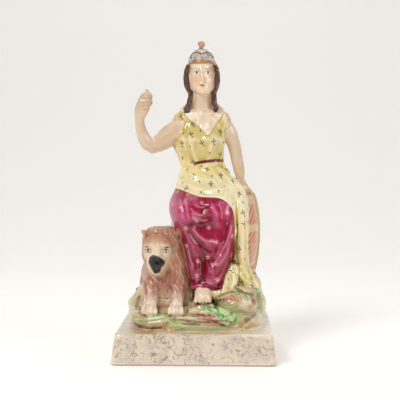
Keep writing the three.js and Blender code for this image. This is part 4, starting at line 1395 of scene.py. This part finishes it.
def rocks(brush):
    """Ground: streaky copper green, red-brown, pink and ochre strokes run into each other on cream, with
    painted highlights on the ridges and painted shade in the hollows.
    """
    ground = brush.lay(
        "rock",
        ("ware", 0.45, brush.cloud(0.08, 0.4, 0.7, (1, 1, 1.8), 3)),
        ("olive", 0.7, brush.cloud(0.06, 0.45, 0.65, (1, 1, 1.8), 3)),
        ("pink", 0.5, brush.cloud(0.07, 0.52, 0.7, (1, 1, 1.8), 3)),
    )
    flat = brush.add("VectorMath", brush.place, (0.5, 0.6, 2.0), operation="MULTIPLY")
    streaks = brush.add("TexNoise", flat, 0.3, 3)
    for enamel, strength in STROKE_STRENGTHS.items():
        wash = brush.add("Math", streaks, 1.0, "stroke_" + enamel, operation="MULTIPLY_ADD")
        ground = brush.lay(ground, (enamel, strength, (wash, 0.6, 1.3)))
    hairs = brush.cloud(0.8, 0.57, 0.64, (0.25, 0.4, 1.6), 2)
    return brush.lay(
        ground,
        ("brown", 0.55, brush.cloud(0.5, 0.56, 0.66, (0.35, 0.5, 2.2), 3), brush.cloud(0.045, 0.4, 0.6)),
        ("dark", 0.5, hairs, brush.cloud(0.06, 0.45, 0.55, (1, 1, 2), 1)),
        # Painted highlights on the ridges and painted shade in the hollows, where the enamel also thins and
        # pools.
        ("ware", 0.35, ("pool", -0.6, -2.8)),
        ("dark", 0.5, ("pool", 0.5, 2.6)),
    )


def dress(brush):
    """Dress: lemon enamel, creamy with painted highlights on the ridges and olive with painted shade where it
    pools, sprigged in green and brown.
    """
    sprigs = brush.where(brush.leaves("sprigs", 4, 3.6, 0.9, 1.0, 0.12))
    buds = brush.where(brush.leaves("sprigs", 2, 2.1, 0.9, 1.0))
    plant = brush.add("Mix", "bud", sprigs, buds, data_type="FLOAT")
    leaf = brush.lay("sprig", ("sprig_brown", 1, brush.cloud(0.06, 0.45, 0.55, detail=1)))
    motif = brush.add("UVMap", uv_map="sprigs")
    berry = brush.add("VectorMath", motif, (0.3, -3.7, 0.0), operation="DISTANCE")
    return brush.lay(
        "dress",
        # Painted shade in the folds, where the lemon also pools.
        ("dress_shade", 0.85, ("pool", 0.1, 3.0)),
        ("ware", 0.45, brush.cloud(0.16, 0.48, 0.72, (1.2, 1.2, 0.45), 3)),
        ("dress_shade", 0.35, brush.cloud(0.06, 0.5, 0.8, (1, 1, 0.5), 3)),
        ("dress_shade", 0.45, (brush.height, 214, 228)),
        ("ochre", 0.22, brush.cloud(0.09, 0.52, 0.7, (1.3, 1, 0.6), 2)),
        ("dress_shade", 0.2, (brush.height, 150, 90)),
        ("ware", 0.42, (brush.height, 208, 196), (brush.height, 155, 175)),
        # Painted highlights on the ridges, where the lemon also runs thin.
        ("ware", 0.5, ("pool", -0.3, -2.5)),
        (leaf, 0.9, plant),
        ("sprig_brown", 0.85, (berry, 1.25, 0.75), ("bud", 0.6, 0.4)),
    )


def skirt(brush):
    """Skirt: translucent crimson, deep with painted shade in the folds and the painted shadow beside the
    lion, rosy with painted highlights over the ridges where it runs thin, starred in pale pink.
    """
    return brush.lay(
        "skirt",
        ("skirt_shade", 0.55, brush.cloud(0.12, 0.45, 0.75, (1.6, 1.6, 0.35), 3)),
        ("skirt_shade", 0.35, (brush.height, 140, 95)),
        ("skirt_light", 0.3, brush.cloud(0.2, 0.5, 0.75, (1.4, 1.4, 0.3), 3)),
        # Painted shade and the painted shadow beside the lion along the listed strokes, and painted shade in
        # the hollows, where the crimson also lies thick and pools.
        ("skirt_shade", 0.75, ("skirt_thick", 0.05, 0.9)),
        ("skirt_shade", 0.85, ("pool", 0.0, 2.4)),
        # Painted highlights on the ridges and along the listed strokes, where the crimson also runs thin.
        ("skirt_light", 0.6, ("pool", -0.2, -2.6)),
        ("skirt_bloom", 0.6, ("skirt_thin", 0.1, 1.0)),
        ("star", 0.85, brush.leaves("stars", 6, 3.3, 0.3, 0.4)),
    )


def linen(brush):
    """Linen: cream, with fine pinkish brown strokes along its gathers."""
    return brush.lay(
        "ware",
        ("flesh", 1, brush.cloud(0.1, 0.35, 0.65)),
        ("outline", 0.28, brush.cloud(0.8, 0.5, 0.66, (1, 1, 0.15), 1), (brush.height, 256, 268)),
    )


def lion(brush):
    """Lion: pinkish brown brushed on stroke by stroke, thinning to cream on the face and paws, with painted
    shade in its hollows and painted highlights on its ridges.
    """
    forward = brush.where((brush.depth, -34, -40))
    upright = brush.add("VectorMath", brush.place, (1.6, 1, 0.4), operation="MULTIPLY")
    streaks = brush.add("TexNoise", upright, 0.25, 3)
    low = brush.add("Math", streaks, 16, brush.height, operation="MULTIPLY_ADD")
    snout = brush.lay("black", ("helmet_line", 0.4, brush.cloud(0.3, 0.55, 0.8, detail=3)))
    coat = brush.lay(
        "lion",
        ("lion_dark", 0.55, brush.cloud(0.22, 0.45, 0.75, (1.4, 1, 0.5), 3, 1.2)),
        ("lion_pink", 0.6, brush.cloud(0.09, 0.45, 0.65), (brush.height, 104, 88)),
        ("lion_face", 0.45, brush.cloud(0.3, 0.52, 0.75, (1.6, 1, 0.45), 3, 1.0)),
        # Painted shade in the hollows and painted highlights on the ridges, where the enamel also pools and
        # thins.
        ("lion_dark", 0.7, ("pool", 0.2, 2.8)),
        ("lion_face", 0.35, ("pool", -0.4, -3.0)),
        ("black", 0.6, brush.cloud(0.6, 0.5, 0.62, detail=1), brush.oval((-30, 134), (12, 3.6), 0.5)),
        ("lion_dark", 0.4, (brush.height, 112, 86), brush.cloud(0.35, 0.4, 0.6, (1.4, 1, 0.6), 3)),
        ("paw", 1, (low, 86, 70), forward),
        ("lion_pink", 0.3, brush.cloud(0.12, 0.45, 0.65), (low, 86, 74)),
        ("lion_face", 0.95, brush.inside("lion_face", 4.5, 5)),
        ("paw", 0.7, brush.oval((-45, 113), (14, 9), 0.8), forward),
        ("lion", 0.6, brush.oval((-44, 131), (15, 6), 0.8), forward),
        (snout, 1, brush.inside("lion_muzzle", 0.7, 0.9)),
    )
    for x, outer, brow in ((-55.4, -1, (-56.9, 120.8)), (-35.2, 1, (-34.0, 120.2))):
        coat = brush.lay(
            coat,
            ("ware", 0.6, brush.oval((x, 116.3), (3.0, 1.5)), forward),
            ("black", 1, brush.arc((x, 116.3), (3.8, 2.5), 1.1), forward),
            ("black", 0.85, brush.arc((x, 116.0), (3.6, -2.3), -0.9), forward),
            ("black", 1, brush.oval((x + 0.3 * outer, 116.4), (1.25, 1.3)), forward),
            ("black", 1, brush.oval(brow, (2.2 + 0.5 * outer, 0.75)), forward),
        )
    return brush.lay(coat, ("lion_dark", 0.4, ("toe_gap", 0.5, 1.0), forward))


def flesh(brush):
    """Flesh: a thin peach wash, with brows, eyes and lips in fine strokes, a blush on the cheeks, pink
    painted shade in the hollows and painted shade under the chin, round the eyes and on the arms.
    """
    face = brush.where((brush.depth, 4, 2))
    skin = brush.lay(
        "flesh",
        ("ware", 0.6, brush.cloud(0.09, 0.4, 0.75)),
        # Pink painted shade in the hollows, where the wash also pools, and painted shade under the chin.
        ("blush", 0.4, ("pool", 0.4, 3.2)),
        ("flesh_shade", 0.5, (brush.height, 300, 294), (brush.height, 272, 288)),
    )
    for side in (-1, 1):
        across = FACE_MIDDLE - 0.2 + side * EYE_APART / 2
        middle = (across, EYE_LINE + 0.7)
        skin = brush.lay(
            skin,
            ("blush", 0.45, brush.oval((across + side * 1.5, 312.5), (5.5, 5.0), 0.9), face),
            # Painted shade round the eyes.
            ("flesh_shade", 0.35, brush.oval((across, EYE_LINE + 1.6), (4.0, 3.0), 0.5), face),
            ("white", 1, brush.oval(middle, (2.9, 1.35)), face),
            ("hair", 1, brush.oval(middle, (1.3, 1.35)), face),
            ("black", 1, brush.oval(middle, (0.65, 0.65)), face),
            ("hair", 0.95, brush.arc((across, EYE_LINE + 0.8), (3.4, 1.9), 0.5), face),
            ("hair", 0.75, brush.arc((across + 0.4 * side, EYE_LINE + 3.2), (4.7, 2.6), 0.5), face),
        )
    mouth = (FACE_MIDDLE - 0.1, MOUTH_LINE + 0.6)
    away = brush.add("Math", brush.add("Math", brush.across, -7.0), operation="ABSOLUTE")
    skin = brush.lay(
        skin,
        ("lips", 0.8, brush.oval(mouth, (3.3, 1.5)), face),
        ("outline", 0.9, brush.oval(mouth, (2.9, 0.35)), face),
        # Painted shade on the arms.
        ("flesh_shade", 0.5, (away, 18, 32)),
    )
    for middle, half in (
        ((-56, 295.6), (1.7, 0.45)),
        ((-52.2, 292.4), (0.8, 1.0)),
        ((-51.8, 287), (0.8, 1.1)),
    ):
        skin = brush.lay(skin, ("hair", 0.6, brush.oval(middle, half, 0.5), face))
    return brush.lay(skin, ("hair", 0.45, ("finger_gap", 0.6, 1.0)))


def hair(brush):
    """Hair: purple-brown in long strokes with lighter streaks, darker with painted shade in its hollows,
    where the enamel also pools.
    """
    return brush.lay(
        "hair",
        ("hair_light", 0.6, brush.cloud(0.7, 0.45, 0.7, (1, 1, 0.15))),
        # Painted shade in the hollows of the hair, where the enamel also pools.
        ("black", 0.5, ("pool", 0.3, 2.5)),
    )


def helmet(brush):
    """Helmet: greyed white with dark outlined arches, an ochre line round the brim and a salmon knop."""
    knop = brush.lay("finial", ("ware", 0.45, brush.cloud(0.25, 0.4, 0.65)))
    return brush.lay(
        "helmet",
        ("helmet_line", 0.75, brush.cloud(0.25, 0.4, 0.65, detail=3)),
        ("helmet_dark", 0.45, ("rise", 5, 8), brush.cloud(0.5, 0.5, 0.62, (1, 1, 1.6), 2)),
        ("helmet_tan", 0.8, ("rise", 5.0, 2.0)),
        ("helmet_dark", 0.85, ("arches", 0.25, 0.8), brush.cloud(0.35, 0.34, 0.44, detail=1)),
        ("gold", 0.85, ("rise", 0.9, 0.4)),
        ("helmet_dark", 0.7, (brush.height, HEIGHT - 10.2, HEIGHT - 9.2)),
        (knop, 1, (brush.height, HEIGHT - 8.2, HEIGHT - 7.4)),
    )


def shield(brush):
    """Shield: orange laid in slanting strokes between pale bands, with a greyed rim."""
    slant = brush.add("VectorRotate", brush.place, rotation_type="X_AXIS", Angle=0.86)
    stripes = brush.add("TexWave", slant, 0.055, 13, 2, 0.06, bands_direction="Y")
    return brush.lay(
        "shield",
        ("shield_pale", 0.4, brush.cloud(0.12, 0.4, 0.75, (1, 1, 0.5), 3)),
        ("shield_pale", 0.75, (stripes, 0.5, 0.95)),
        ("shield_pale", 1, brush.inside("shield_band", 0.5, 1.0)),
        ("shield_pale", 1, brush.inside("shield_rim", 0.5, 1.2)),
        ("shield_pale", 0.65, (brush.height, 103, 98)),
        ("shield_pale", 0.7, (brush.height, 168, 172)),
        ("shield", 0.3, ("shield_rim", -2.6, -1.6), brush.cloud(0.2, 0.5, 0.6)),
        ("vein", 0.5, ("shield_rim", 1.6, 2.6)),
        ("dark", 0.75, ("stroke_dark", 0.3, 0.9)),
    )


class FIGURE_OT_studio(bpy.types.Operator):
    """Sets the paper, the soft lights and the camera"""

    bl_idname = "figure.studio"
    bl_label = "Set Studio"

    def execute(self, context):
        studio = context.scene.figure_studio
        self.paper(studio)
        self.light("key", (-0.9, -1.3, 1.5), 0.7, studio.key)
        self.light("fill", (1.5, -0.8, 0.8), 0.8, studio.fill)
        self.light("top", (0.0, 0.4, 1.9), 1.5, studio.top)
        self.room(context, studio)
        self.camera(context, studio)
        context.scene.view_settings.view_transform = "Standard"
        return {"FINISHED"}

    def room(self, context, studio):
        """A dim pale room, looked at as bright as the paper."""
        world = bpy.data.worlds.new("studio")
        world.use_nodes = True
        room = Nodes(world.node_tree)
        looked_at = room.add("LightPath").outputs["Is Camera Ray"]
        dim = room.add("Background", studio.backdrop, studio.room)
        bright = room.add("Background", studio.backdrop, studio.horizon)
        room.add("OutputWorld", room.add("MixShader", looked_at, dim, bright))
        context.scene.world = world

    def paper(self, studio):
        """A sheet that lies under the figure and sweeps up behind it."""
        bpy.ops.object.select_all(action="DESELECT")
        bpy.ops.mesh.primitive_plane_add(size=12, location=(0, -4.0, 0))
        sheet = bpy.context.object
        sheet.name = "paper"
        bpy.ops.object.transform_apply()
        bpy.ops.object.mode_set(mode="EDIT")
        bpy.ops.mesh.select_all(action="DESELECT")
        bpy.ops.object.mode_set(mode="OBJECT")
        back = max(vertex.co.y for vertex in sheet.data.vertices)
        for edge in sheet.data.edges:
            edge.select = all(sheet.data.vertices[n].co.y > back - 0.01 for n in edge.vertices)
        bpy.ops.object.mode_set(mode="EDIT")
        bpy.ops.mesh.select_mode(type="EDGE")
        bpy.ops.mesh.extrude_region_move(TRANSFORM_OT_translate={"value": (0, 0, 3.5)})
        bpy.ops.object.mode_set(mode="OBJECT")
        finish_modifier(sheet, "BEVEL", width=1.2, segments=24, affect="EDGES", limit_method="ANGLE")
        bpy.ops.object.shade_smooth()
        sheet.data.materials.append(self.matt_paper(studio))

    def matt_paper(self, studio):
        """Paper: smooth, pale and matt, lit a little from behind, and more so towards the horizon."""
        material = bpy.data.materials.new("matt_background_paper")
        material.use_nodes = True
        paper = Nodes(material.node_tree)
        axes = paper.add("SeparateXYZ", paper.add("TexCoord").outputs["Object"]).outputs
        ahead = paper.add("Math", axes["Y"], 0.0, operation="MINIMUM")
        away = paper.add("VectorMath", paper.add("CombineXYZ", axes["X"], ahead), operation="LENGTH")
        glow = paper.add("MapRange", away, 1.0, 3.0, studio.glow, 0.7)
        lit = {"Emission Color": studio.backdrop, "Emission Strength": glow}
        paper.add("OutputMaterial", paper.add("BsdfPrincipled", studio.backdrop, Roughness=0.95, **lit))
        return material

    def light(self, name, place, size, power):
        """A square soft light that points at the middle of the figure."""
        data = bpy.data.lights.new(name, "AREA")
        data.shape = "SQUARE"
        data.size = size
        data.energy = power
        lamp = bpy.data.objects.new(name, data)
        lamp.location = place
        lamp.rotation_euler = (Vector((0, 0, 0.17)) - Vector(place)).to_track_quat("-Z", "Y").to_euler()
        bpy.context.scene.collection.objects.link(lamp)

    def camera(self, context, studio):
        """The eye, at the photograph's place and angle."""
        data = bpy.data.cameras.new("eye")
        data.lens = studio.lens
        data.sensor_width = 36
        eye = bpy.data.objects.new("eye", data)
        eye.location = studio.eye
        eye.rotation_euler = Vector((-0.028, 1.0, -0.045)).to_track_quat("-Z", "Y").to_euler()
        context.scene.collection.objects.link(eye)
        context.scene.camera = eye


class FIGURE_PT_making(bpy.types.Panel):
    bl_label = "Earthenware Figure"
    bl_idname = "FIGURE_PT_making"
    bl_space_type = "VIEW_3D"
    bl_region_type = "UI"
    bl_category = "Figure"

    def draw(self, context):
        for step in STEPS:
            self.layout.operator(step.bl_idname)
        for group in GROUPS:
            settings = getattr(context.scene, group)
            box = self.layout.box()
            for name in settings.bl_rna.properties.keys():
                if name not in ("rna_type", "name"):
                    box.prop(settings, name)


STEPS = (
    FIGURE_OT_body,
    FIGURE_OT_head,
    FIGURE_OT_limbs,
    FIGURE_OT_cloth,
    FIGURE_OT_lion,
    FIGURE_OT_ground,
    FIGURE_OT_carve,
    FIGURE_OT_paint,
    FIGURE_OT_glaze,
    FIGURE_OT_studio,
)
GROUPS = {
    "figure_clay": FIGURE_PG_clay,
    "figure_enamels": FIGURE_PG_enamels,
    "figure_glaze": FIGURE_PG_glaze,
    "figure_studio": FIGURE_PG_studio,
}


def register():
    for name, group in GROUPS.items():
        bpy.utils.register_class(group)
        setattr(bpy.types.Scene, name, bpy.props.PointerProperty(type=group))
    for step in STEPS:
        bpy.utils.register_class(step)
    bpy.utils.register_class(FIGURE_PT_making)


def unregister():
    bpy.utils.unregister_class(FIGURE_PT_making)
    for step in reversed(STEPS):
        bpy.utils.unregister_class(step)
    for name, group in reversed(GROUPS.items()):
        delattr(bpy.types.Scene, name)
        bpy.utils.unregister_class(group)


def main():
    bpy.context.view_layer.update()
    register()
    for step in STEPS:
        group, name = step.bl_idname.split(".")
        getattr(getattr(bpy.ops, group), name)()


if __name__ == "__main__":
    main()
